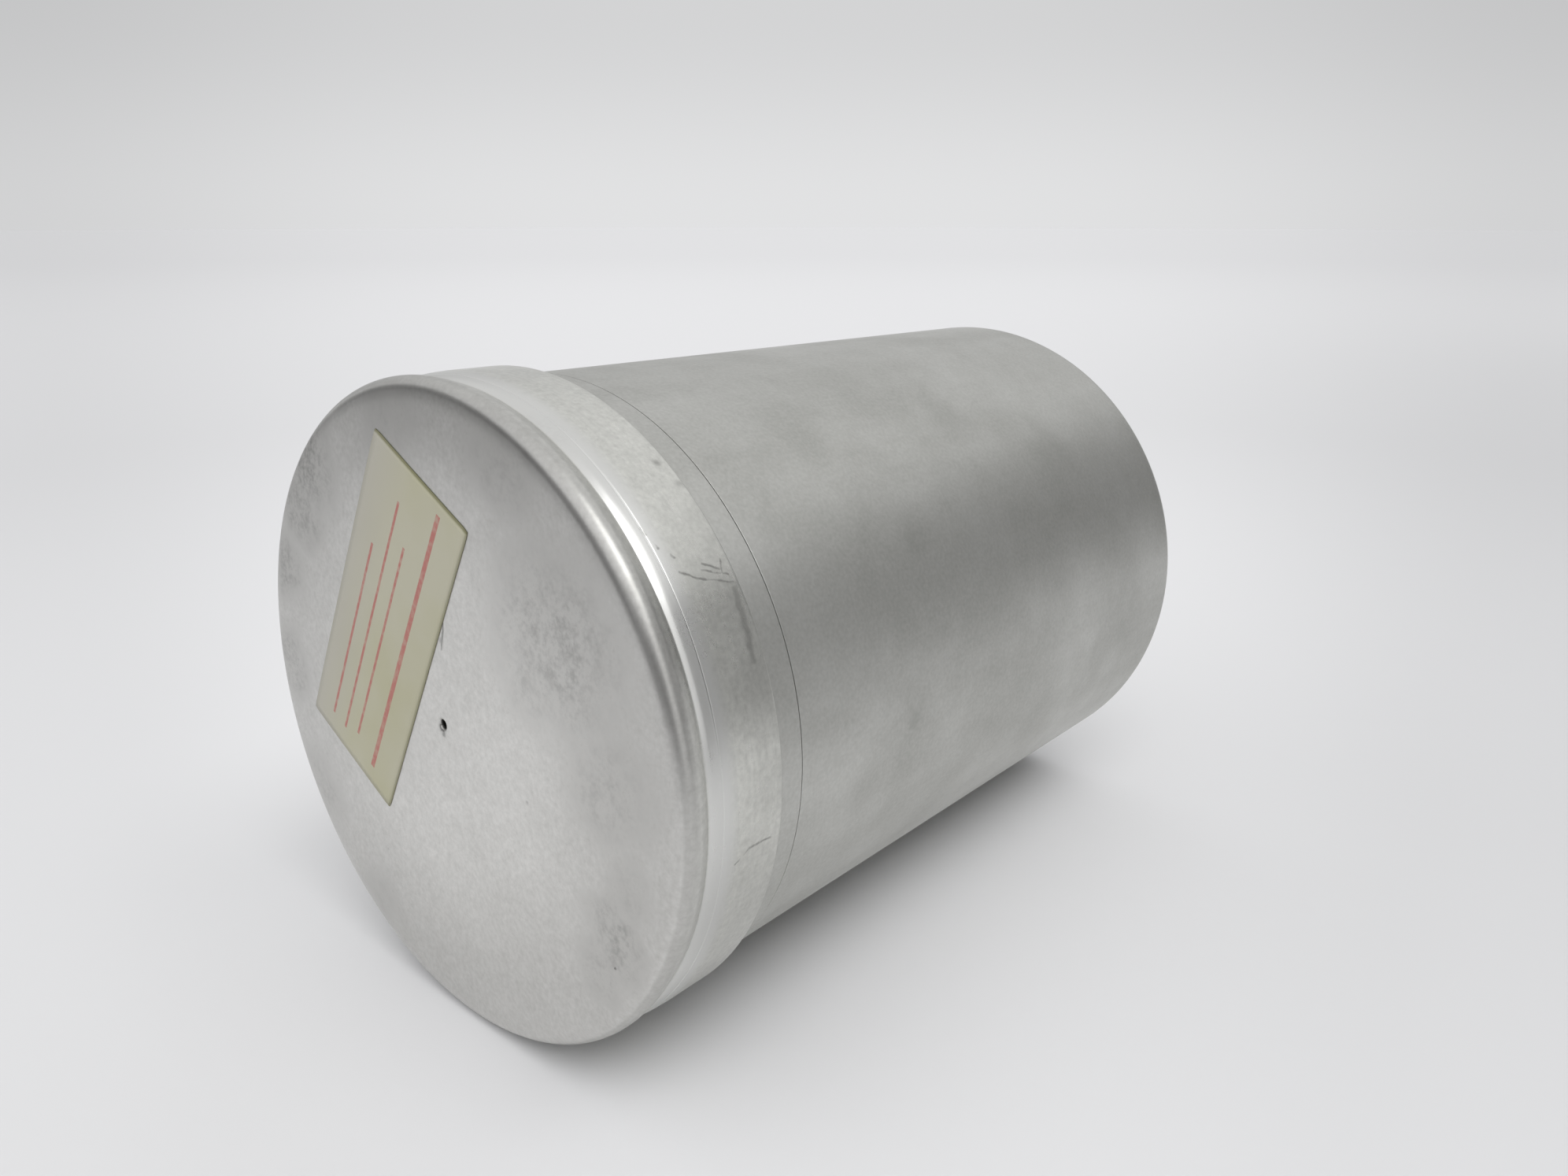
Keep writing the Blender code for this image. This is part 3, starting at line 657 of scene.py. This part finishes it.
def buildCover():
    c = cover
    # vent hole with a small punched dimple round it
    line = [(c["vent"] + out, faceHeight(0) - depth) for out, depth in c["dimple"]]
    line += [(r, faceHeight(r)) for r in c["faceRows"]]
    # the face starts to roll gently before the bend proper
    run = c["bendFrom"] - c["flatTo"]
    slope = 6 * c["dome"] / c["flatTo"]
    bendRadius, bendDrop = c["bendMiddle"]
    steep = math.tan(math.asin((c["bendFrom"] - bendRadius) / c["bend"]))
    for u in (0.2, 0.4, 0.6, 0.8):
        drop = run * (slope * u + (steep - slope) * u ** 3 / 3)
        line.append((c["flatTo"] + run * u, faceHeight(c["flatTo"]) - drop))
    tilt = 90 - math.degrees(math.atan(steep))
    line += arcPoints((bendRadius, c["face"] - bendDrop), c["bend"], tilt, c["bendStop"], 14)
    line += [(r, c["face"] - drop) for r, drop in smoothed(c["rollLine"])]
    edge, bend = lying["skirtEdge"], c["edgeBend"]
    line += arcPoints((c["radius"] - bend, edge + bend), bend, 0, -90, 5)
    line += [(r, edge + up) for r, up in c["hem"]]
    line += rounded([(r, c["face"] - drop, *bend) for r, drop, *bend in c["innerLine"]]
                    + [(c["vent"], faceHeight(0) - c["sheet"])])[1:]
    piece = turned("spun_cover", line, "cover", "protective_cover", 256, untrueCover)
    dress(piece, finishes["spunAluminium"])


# the label: a thin gummed sheet that follows the face's slight dome
label = {
    "middle": (-14.6, 11.9),  # right and up on the face, seen from in front
    "along": (0.4796, 0.8775),
    "length": 59.8,
    "width": 25.1,
    "thick": 0.09,
    "lift": 0.02,  # height of the gum
    "cornerBend": 0.5,
    "steps": (48, 20),
}


def buildLabel():
    b = label
    along = Vector(b["along"]).normalized()
    across = Vector((along.y, -along.x))
    middle = Vector(b["middle"])
    stepsLong, stepsWide = b["steps"]
    verts, faces, spots = [], [], []
    for layer in (0, 1):
        for i in range(stepsLong + 1):
            for j in range(stepsWide + 1):
                u, v = i / stepsLong, j / stepsWide
                a, w = (u - 0.5) * b["length"], (v - 0.5) * b["width"]
                overA = max(abs(a) - (b["length"] / 2 - b["cornerBend"]), 0)
                overW = max(abs(w) - (b["width"] / 2 - b["cornerBend"]), 0)
                over = math.hypot(overA, overW)
                if over > b["cornerBend"]:
                    cut = 1 - b["cornerBend"] / over
                    a = math.copysign(abs(a) - overA * cut, a)
                    w = math.copysign(abs(w) - overW * cut, w)
                spot = middle + along * a + across * w
                verts.append((spot.y, -spot.x, faceHeight(spot.length) + b["lift"] + b["thick"] * layer))
                spots.append((u, v))
    width = stepsWide + 1
    top = (stepsLong + 1) * width
    for i in range(stepsLong):
        for j in range(stepsWide):
            first = i * width + j
            corners = (first, first + 1, first + width + 1, first + width)
            faces.append(corners[::-1])
            faces.append(tuple(top + k for k in corners))
    rim = ([i * width for i in range(stepsLong)] + [stepsLong * width + j for j in range(stepsWide)]
           + [i * width + stepsWide for i in range(stepsLong, 0, -1)] + list(range(stepsWide, 0, -1)))
    for first, second in zip(rim, rim[1:] + rim[:1]):
        faces.append((first, top + first, top + second, second))
    piece = newPiece("face_label", verts, faces, "cover")
    layout = piece.data.uv_layers.new(name="UVMap")
    for loop in piece.data.loops:
        layout.data[loop.index].uv = spots[loop.vertex_index]
    dress(piece, makeRuledPaper(b["length"], b["width"]))


# the foam stopper: cut from block foam, so its edges are a little soft
stopper = {
    "flange": 48.6, "plug": 41.3, "foot": 112, "under": 141, "top": 147.1, "bore": 3,
    "uneven": 0.1, "unevenScale": 0.35,
}


def unevenFoam(angle, radius, height):
    spot = Vector((radius * math.cos(angle), radius * math.sin(angle), height))
    return -stopper["uneven"] * (1 + noise.noise(spot * stopper["unevenScale"]))


def buildStopper():
    s = stopper
    line = rounded([
        (s["flange"], s["top"], 1.6), (s["flange"], s["under"], 0.8), (s["plug"], s["under"], 0.6),
        (s["plug"], s["foot"], 3.2), (s["bore"], s["foot"], 0.6), (s["bore"], s["top"], 0.4),
    ])
    piece = turned("foam_stopper", line, "cover", "vent_stopper", 144, unevenFoam)
    dress(piece, finishes["closedCellFoam"])


# the can: a plain drawn shell with a flat foot and a recess for the pump-out port
can = {
    "radius": lying["bodyRadius"], "wall": 1, "corner": lying["baseCorner"], "seam": 124.2,
    "recess": 21, "recessDepth": 18, "hole": 5.2,
}


def buildCan():
    c = can
    floor = c["recessDepth"] + c["wall"]
    recess = c["recess"] + c["wall"]
    within = c["radius"] - c["wall"]
    line = rounded([
        (c["radius"], c["seam"], 0.08), (c["radius"], 0, c["corner"]), (c["recess"], 0, 2.2),
        (c["recess"], c["recessDepth"], 2), (c["hole"], c["recessDepth"], 0.2), (c["hole"], floor, 0.2),
        (recess, floor, 3), (recess, c["wall"], 1.2), (within, c["wall"], c["corner"] - c["wall"]),
        (within, c["seam"], 0.1),
    ])
    piece = turned("blasted_can", line, "vessel", "outer_can", 224)
    dress(piece, finishes["blastedSteel"])


# the collar: carries the can's line up to the mouth, with the groove that holds the rubber ring
collar = {
    "top": 139.6, "bore": 46, "flange": 3, "mouth": 43.4, "spigotFoot": 115, "gap": 0.3, "seamGap": 0.12,
    "ringHeight": 134.4, "ringSection": 1.25, "groove": 48, "grooveHalf": 1.6,
}


def buildCollar():
    k = collar
    seam = can["seam"] + k["seamGap"]
    spigot = can["radius"] - can["wall"] - k["gap"]
    upper, lower = k["ringHeight"] + k["grooveHalf"], k["ringHeight"] - k["grooveHalf"]
    under = k["top"] - k["flange"]
    line = rounded([
        (can["radius"], k["top"], 0.5), (can["radius"], upper, 0.2), (k["groove"], upper, 0.2),
        (k["groove"], lower, 0.2), (can["radius"], lower, 0.2), (can["radius"], seam, 0.08),
        (spigot, seam, 0.1), (spigot, k["spigotFoot"], 0.4), (k["bore"], k["spigotFoot"], 0.4),
        (k["bore"], under, 0.8), (k["mouth"], under, 0.2), (k["mouth"], k["top"], 1),
    ])
    piece = turned("neck_ring", line, "vessel", "neck_collar", 224)
    dress(piece, finishes["blastedSteel"])
    section = arcPoints((can["radius"] - k["ringSection"], k["ringHeight"]), k["ringSection"], 90, -255, 23)
    ring = turned("rubber_ring", section, "vessel", "collar_ring", 192)
    dress(ring, finishes["mouldedBlackRubber"])


# the inner vessel: drawn, with a flared lip welded down on the collar
vessel = {
    "radius": 42.9, "wall": 0.8, "foot": 30, "dish": 95, "knuckle": 12, "lip": 45.6, "lipBend": 1.2,
}


def dishedLine(away):
    v = vessel
    middle = v["foot"] + v["dish"]
    reach = v["radius"] - v["knuckle"]
    level = middle - math.sqrt((v["dish"] - v["knuckle"]) ** 2 - reach ** 2)
    turn = math.degrees(math.atan2(reach, middle - level))
    knuckle = arcPoints((reach, level), v["knuckle"] - away, 0, turn - 90, 8)
    dish = arcPoints((0, middle), v["dish"] - away, turn - 90, -90, 12)
    dish[-1] = (0, v["foot"] + away)
    return knuckle + dish[1:]


def buildVessel():
    v = vessel
    under = collar["top"] + collar["gap"]
    bendMiddle = (v["radius"] + v["lipBend"], under - v["lipBend"])
    outer = arcPoints(bendMiddle, v["lipBend"], 90, 180, 6) + dishedLine(0)
    inner = dishedLine(v["wall"])[::-1] + arcPoints(bendMiddle, v["lipBend"] + v["wall"], 180, 90, 6)
    edge = arcPoints((v["lip"], under + v["wall"] / 2), v["wall"] / 2, 90, -90, 6)
    # starts and ends on the axis: up the inside, over the lip, down the outside
    piece = turned("drawn_vessel", inner + edge + outer, "vessel", "inner_vessel", 160)
    dress(piece, finishes["drawnStainlessSteel"])


# the weld that joins lip and collar: overlapping puddles round the lip's edge
weld = {"radius": 46.15, "height": 139.68, "wide": 0.6, "tall": 0.38, "puddles": 150, "ripple": 0.06}


def weldPuddle(angle, radius, height):
    return weld["ripple"] * abs(math.sin(angle * weld["puddles"] / 2)) * (radius - weld["radius"])


def buildWeld():
    line = arcPoints((weld["radius"], weld["height"]), weld["wide"], 90, -240, 11, weld["tall"])
    piece = turned("lip_weld", line, "vessel", None, 600, weldPuddle)
    dress(piece, finishes["drawnStainlessSteel"])


# the pump-out port: boss, pinched copper tube and its soft guard
port = {
    "bossRadius": 8.5, "bossTop": 17.7, "bossFoot": 15.4, "bossInner": 20.5, "bossNeck": 4.9, "bossBore": 3.3,
    "tubeRadius": 3, "tubeBore": 2, "tubeTop": 20.2, "crimpTop": 12, "crimpFoot": 9, "tubeFoot": 6.5,
    "flattened": 0.72, "spread": 0.45,  # by the pinch
    "guard": (4.4, 11.6, 4), "guardSlot": (2.4, 9.5), "guardFoot": 5.5,
}


def squeezed(point):
    amount = min(max((port["crimpTop"] - point[2]) / (port["crimpTop"] - port["crimpFoot"]), 0), 1)
    amount = amount * amount * (3 - 2 * amount)
    return (point[0] * (1 - port["flattened"] * amount), point[1] * (1 + port["spread"] * amount), point[2])


def buildPort():
    p = port
    boss = turned("port_bush", rounded([
        (p["bossNeck"], p["bossInner"], 0.3), (p["bossNeck"], p["bossTop"], 0.2),
        (p["bossRadius"], p["bossTop"], 0.3), (p["bossRadius"], p["bossFoot"], 0.6),
        (p["bossBore"], p["bossFoot"], 0.4), (p["bossBore"], p["bossInner"], 0.3),
    ]), "vessel", "port_boss", 96)
    dress(boss, finishes["turnedStainlessSteel"])
    radius, top, foot = p["tubeRadius"], p["tubeTop"], p["tubeFoot"]
    rise = (p["crimpTop"] - p["crimpFoot"]) / 8
    line = [(0, p["crimpFoot"] + 1.5), (p["tubeBore"], p["crimpTop"]), (p["tubeBore"], top)]
    line += [(radius - 0.25, top), (radius, top - 0.25)]
    line += [(radius, p["crimpTop"] - rise * k) for k in range(9)]
    line += [(radius, foot + 0.3), (radius - 0.3, foot), (0, foot)]
    tube = turned("pinched_tube", line, "vessel", "pinch_off_tube", 64, None, squeezed)
    dress(tube, finishes["softCopper"])
    # guard: a rounded sleeve with one closed end
    halfW, halfL, tall = p["guard"][0] / 2, p["guard"][1] / 2, p["guard"][2]
    slotW, slotL = p["guardSlot"][0] / 2, p["guardSlot"][1] / 2
    # (half width, half length, height) of each row, from the inside floor round to the outside
    sections = [(slotW, slotL, 1.2), (slotW, slotL, tall), (slotW + 0.3, slotL + 0.3, tall),
                (halfW - 0.2, halfL - 0.2, tall), (halfW, halfL, tall - 0.3), (halfW, halfL, 1.2),
                (halfW - 0.3, halfL - 0.3, 0.4), (halfW - 1, halfL - 1, 0)]
    around = 48
    hurry = 6  # how soon a row's points leave the straight sides for the round ends
    verts, faces = [], []
    for w, l, z in sections:
        for i in range(around):
            angle = math.tau * i / around
            side = math.copysign(min(1, abs(math.sin(angle)) * hurry), math.sin(angle))
            verts.append((w * math.cos(angle), (l - w) * side + w * math.sin(angle), p["guardFoot"] + z))
    for row in range(len(sections) - 1):
        for i in range(around):
            j = (i + 1) % around
            faces.append((row * around + i, (row + 1) * around + i, (row + 1) * around + j, row * around + j))
    last = (len(sections) - 1) * around
    faces.append(tuple(range(around)))
    faces.append(tuple(last + i for i in reversed(range(around))))
    guard = newPiece("tip_sleeve", verts, faces, "vessel", "tip_guard")
    dress(guard, finishes["redVinyl"])


# the rubber plug: thin face with a dish, a standing rim, and a bar to pull it by
plug = {
    "radius": 20.6, "face": 0.6, "dish": 2.2, "back": 3.8, "rimTop": 9.5, "rimInner": 17.2, "dishRadius": 14,
    "dishSlope": 0.6, "middleRow": 5, "bar": (2.5, 14, 0.6, 3), "barBend": 0.7,
}


def buildPlug():
    g = plug
    line = [(0, g["back"])] + rounded([
        (g["middleRow"], g["back"]), (g["rimInner"], g["back"], 0.8), (g["rimInner"], g["rimTop"], 0.6),
        (g["radius"], g["rimTop"], 0.8), (g["radius"], g["face"], 1),
        (g["dishRadius"] + g["dishSlope"], g["face"], 0.4),
        (g["dishRadius"] - g["dishSlope"], g["dish"], 0.5), (g["middleRow"], g["dish"]),
    ]) + [(0, g["dish"])]
    piece = turned("rubber_plug", line, "port_plug", "port_plug", 128)
    dress(piece, finishes["mouldedBlackRubber"])
    halfW, halfL, low, high = g["bar"]
    bm = bmesh.new()
    bmesh.ops.create_cube(bm, size=1)
    for vert in bm.verts:
        x, y, z = vert.co
        vert.co = Vector((x * 2 * halfW, y * 2 * halfL, low + (z + 0.5) * (high - low)))
    bmesh.ops.bevel(bm, geom=bm.edges[:], offset=g["barBend"], segments=4, profile=0.6, affect="EDGES")
    verts = [tuple(v.co) for v in bm.verts]
    faces = [tuple(v.index for v in f.verts) for f in bm.faces]
    bm.free()
    bar = newPiece("pull_bar", verts, faces, "port_plug")
    dress(bar, finishes["mouldedBlackRubber"])


buildCover()
buildLabel()
buildStopper()
print("cover, label and stopper made")
buildCan()
buildCollar()
buildVessel()
buildWeld()
buildPort()
buildPlug()
print("vessel and port made")

# sealed inner pieces keep their solids
inside = {
    "foil_wrap": "aluminisedFilm",
    "foil_base_cap": "aluminisedFilm",
    "paper_wrap": "glassPaper",
    "paper_base_cap": "glassPaper",
    "centring_block_1": "glassLaminate",
    "centring_block_2": "glassLaminate",
    "centring_block_3": "glassLaminate",
    "getter_cup": "drawnStainlessSteel",
    "getter_screen": "drawnStainlessSteel",
    "getter_charge": "activatedCharcoal",
}
for nodeName, finish in inside.items():
    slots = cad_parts[nodeName].data.materials
    slots.clear()
    slots.append(finishes[finish])
print("inner pieces dressed:", len(inside))

# the photograph's own viewpoint, fitted to its outlines
photoCamera = {
    "place": (-162.96, -145.50, 127.18),
    "look": (0.71825, 0.62348, -0.30885),
    "lens": 26.747,
    "sensor": 36,
}
look = Vector((photoCamera["look"][0], photoCamera["look"][1], 0)).normalized()

# the stage: a pale floor in a light tent, two soft suns, and dim screens for the tent's open front
# places and distances are in metres, and a rise is the upward part of a direction of length 1
stageSet = {
    # brightness of the tent at the horizon, a little above it, and overhead
    "horizon": 0.76,
    "wall": 0.66,
    "wallRise": 0.15,
    "roof": 0.98,
    "roofRise": (0.25, 0.7),
    "back": 1.5,  # the tent's open front, behind the camera, lets in more light
    "backFull": 0.8,  # cosine of the angle from straight behind at which that is full
    "tint": (0.994, 0.997, 1.006, 1),
    "viewSide": 0.84,  # cosine of the angle from the view's middle to where its sides begin
    "sideFall": 0.15,  # how much dimmer the tent is at the sides of the view
    "floor": "#d7d7d8",
    # a painted pool of light: the floor is brighter round the object
    "floorLitNear": "#e5e5e6",
    "nearRange": (0.1, 0.6),
    "floorFarShade": "#cfcfd0",  # painted falloff of the light: darker far away, so it meets the tent's wall without a line
    "farRange": (0.6, 3.5),
    "floorSideShade": "#ededed",  # painted shade: multiplies the floor's colour at the sides of the view
    "sideRange": (0.02, 0.3),
    "floorRadius": 9,
    "floorSides": 64,
    # soft suns: where each comes from, strength, angle, and whether metal mirrors it
    "suns": [((0.075, -0.535, 0.841), 0.46, 32, True), ((-0.36, -0.45, 0.82), 0.92, 40, False)],
    # dim screens, unseen by the camera: colour, whether metal mirrors it or else it dims the scattered light,
    # then (x, y, foot, top) along it
    "screens": [
        ("#7a7a7a", True, [(-0.18, 0.60, 0.08, 0.20), (-0.32, 0.55, 0.06, 0.48), (-0.50, 0.41, 0.08, 0.54),
                           (-0.62, 0.21, 0.10, 0.55), (-0.67, -0.02, 0.06, 0.50), (-0.64, -0.20, 0, 0.44),
                           (-0.50, -0.42, 0, 0.39), (-0.23, -0.40, 0, 0.32)]),
        ("#c2c2c2", True, [(-0.05, -0.26, 0.02, 0.26), (0.24, -0.25, 0.06, 0.26)]),
        ("#a0a0a0", True, [(0.24, -0.25, 0.06, 0.27), (0.45, -0.25, 0.06, 0.34), (0.75, -0.25, 0.05, 0.44),
                           (1.30, -0.20, 0.05, 0.56)]),
        ("#161616", False, [(-1, -0.55, 0.2, 0.8), (-0.6, -0.8, 0.2, 0.9), (0, -0.9, 0.2, 0.9),
                            (0.6, -0.8, 0.2, 0.9), (1.1, -0.5, 0.2, 0.8)]),
    ],
}


def mattMaterial(name, colour):
    material = bpy.data.materials.new(name)
    material.use_nodes = True
    tree = material.node_tree
    setInputs(tree, tree.nodes["Principled BSDF"], {
        "Base Color": colour, "Roughness": 0.9, "Specular IOR Level": 0.1})
    return material


def stagePiece(name, verts, faces, material):
    mesh = bpy.data.meshes.new(name)
    mesh.from_pydata(verts, [], faces)
    mesh.materials.append(material)
    piece = bpy.data.objects.new(name, mesh)
    scene.collection.objects.link(piece)
    return piece


# 1 in the middle of the photograph's view, 0 at its sides and beyond
def inView(tree, towards):
    ahead = addNode(tree, "VectorMath", {0: towards, 1: look}, "Value", operation="DOT_PRODUCT")
    return addNode(tree, "MapRange", {
        "Value": ahead, "From Min": stageSet["viewSide"], "From Max": 1}, interpolation_type="SMOOTHSTEP")


def buildTent():
    s = stageSet
    world = bpy.data.worlds.new("lightTent")
    scene.world = world
    world.use_nodes = True
    tree = world.node_tree
    towards = addNode(tree, "TexCoord", {}, "Generated")
    rise = addNode(tree, "SeparateXYZ", {0: towards}, "Z")
    wall = addNode(tree, "MapRange", {
        "Value": rise, "From Min": 0, "From Max": s["wallRise"], "To Min": s["horizon"], "To Max": s["wall"],
    }, interpolation_type="SMOOTHSTEP")
    roofFrom, roofTo = s["roofRise"]
    roof = addNode(tree, "MapRange", {
        "Value": rise, "From Min": roofFrom, "From Max": roofTo, "To Max": s["roof"] - s["wall"],
    }, interpolation_type="SMOOTHSTEP")
    level = addNode(tree, "Math", {0: wall, 1: roof}, operation="ADD")
    middle = inView(tree, towards)
    shade = addNode(tree, "MapRange", {"Value": middle, "To Min": 1 - s["sideFall"], "To Max": 1})
    behind = addNode(tree, "VectorMath", {0: towards, 1: -look}, "Value", operation="DOT_PRODUCT")
    openFront = addNode(tree, "MapRange", {
        "Value": behind, "From Max": s["backFull"], "To Min": 1, "To Max": s["back"],
    }, interpolation_type="SMOOTHSTEP")
    shaded = addNode(tree, "Math", {0: level, 1: shade}, operation="MULTIPLY")
    strength = addNode(tree, "Math", {0: shaded, 1: openFront}, operation="MULTIPLY")
    setInputs(tree, tree.nodes["Background"], {"Color": s["tint"], "Strength": strength})


def buildFloor():
    s = stageSet
    paper = mattMaterial("mattPaper", s["floor"])
    tree = paper.node_tree
    place = addNode(tree, "TexCoord", {}, "Object")
    away = addNode(tree, "VectorMath", {0: place}, "Value", operation="LENGTH")
    # the floor is painted darker far away
    farFrom, farTo = s["farRange"]
    farShade = addNode(tree, "MapRange", {
        "Value": away, "From Min": farFrom, "From Max": farTo}, interpolation_type="SMOOTHSTEP")
    farShaded = addNode(tree, "Mix", {0: farShade, 6: s["floor"], 7: s["floorFarShade"]}, 2, data_type="RGBA")
    # painted pool of light round the object
    nearFrom, nearTo = s["nearRange"]
    litNear = addNode(tree, "MapRange", {
        "Value": away, "From Min": nearFrom, "From Max": nearTo, "To Min": 1, "To Max": 0,
    }, interpolation_type="SMOOTHSTEP")
    colour = addNode(tree, "Mix", {0: litNear, 6: farShaded, 7: s["floorLitNear"]}, 2, data_type="RGBA")
    # painted shade: the floor darkens towards the sides of the view
    # the sides of the view spread from the photograph's viewpoint
    viewFoot = (photoCamera["place"][0] * mm, photoCamera["place"][1] * mm, 0)
    fromView = addNode(tree, "VectorMath", {0: place, 1: viewFoot}, operation="SUBTRACT")
    outward = addNode(tree, "VectorMath", {0: fromView}, operation="NORMALIZE")
    reach = addNode(tree, "VectorMath", {0: fromView}, "Value", operation="LENGTH")
    sideFrom, sideTo = s["sideRange"]
    fade = addNode(tree, "MapRange", {
        "Value": reach, "From Min": sideFrom, "From Max": sideTo}, interpolation_type="SMOOTHSTEP")
    asideShade = addNode(tree, "MapRange", {"Value": inView(tree, outward), "To Min": fade, "To Max": 0})
    lit = addNode(tree, "Mix", {
        0: asideShade, 6: colour, 7: s["floorSideShade"]}, 2, data_type="RGBA", blend_type="MULTIPLY")
    setInputs(tree, tree.nodes["Principled BSDF"], {"Base Color": lit})
    angles = [math.tau * i / s["floorSides"] for i in range(s["floorSides"])]
    verts = [(s["floorRadius"] * math.cos(angle), s["floorRadius"] * math.sin(angle), 0) for angle in angles]
    stagePiece("pale_floor", verts, [tuple(range(s["floorSides"]))], paper)


def buildScreens():
    for number, (colour, mirrored, line) in enumerate(stageSet["screens"]):
        verts = []
        for x, y, foot, top in line:
            verts += [(x, y, foot), (x, y, top)]
        faces = [(i, i + 1, i + 3, i + 2) for i in range(0, len(verts) - 2, 2)]
        cloth = mattMaterial("greyCloth" + str(number), colour)
        screen = stagePiece("dim_screen_" + str(number), verts, faces, cloth)
        screen.visible_camera = False
        screen.visible_shadow = False
        screen.visible_glossy = mirrored
        screen.visible_diffuse = not mirrored


def buildSuns():
    for number, (comesFrom, strength, angle, mirrored) in enumerate(stageSet["suns"]):
        data = bpy.data.lights.new("softSun" + str(number), "SUN")
        data.energy = strength
        data.angle = math.radians(angle)
        sun = bpy.data.objects.new("softSun" + str(number), data)
        sun.rotation_euler = (-Vector(comesFrom)).to_track_quat("-Z", "Y").to_euler()
        sun.visible_glossy = mirrored
        scene.collection.objects.link(sun)


def buildCamera():
    data = bpy.data.cameras.new("photoCamera")
    data.lens = photoCamera["lens"]
    data.sensor_width = photoCamera["sensor"]
    data.clip_start = 0.005
    camera = bpy.data.objects.new("photoCamera", data)
    camera.location = Vector(photoCamera["place"]) * mm
    camera.rotation_euler = Vector(photoCamera["look"]).to_track_quat("-Z", "Y").to_euler()
    scene.collection.objects.link(camera)
    scene.camera = camera


buildTent()
buildFloor()
buildScreens()
buildSuns()
buildCamera()
scene.view_settings.view_transform = "Standard"
print("stage and camera set")
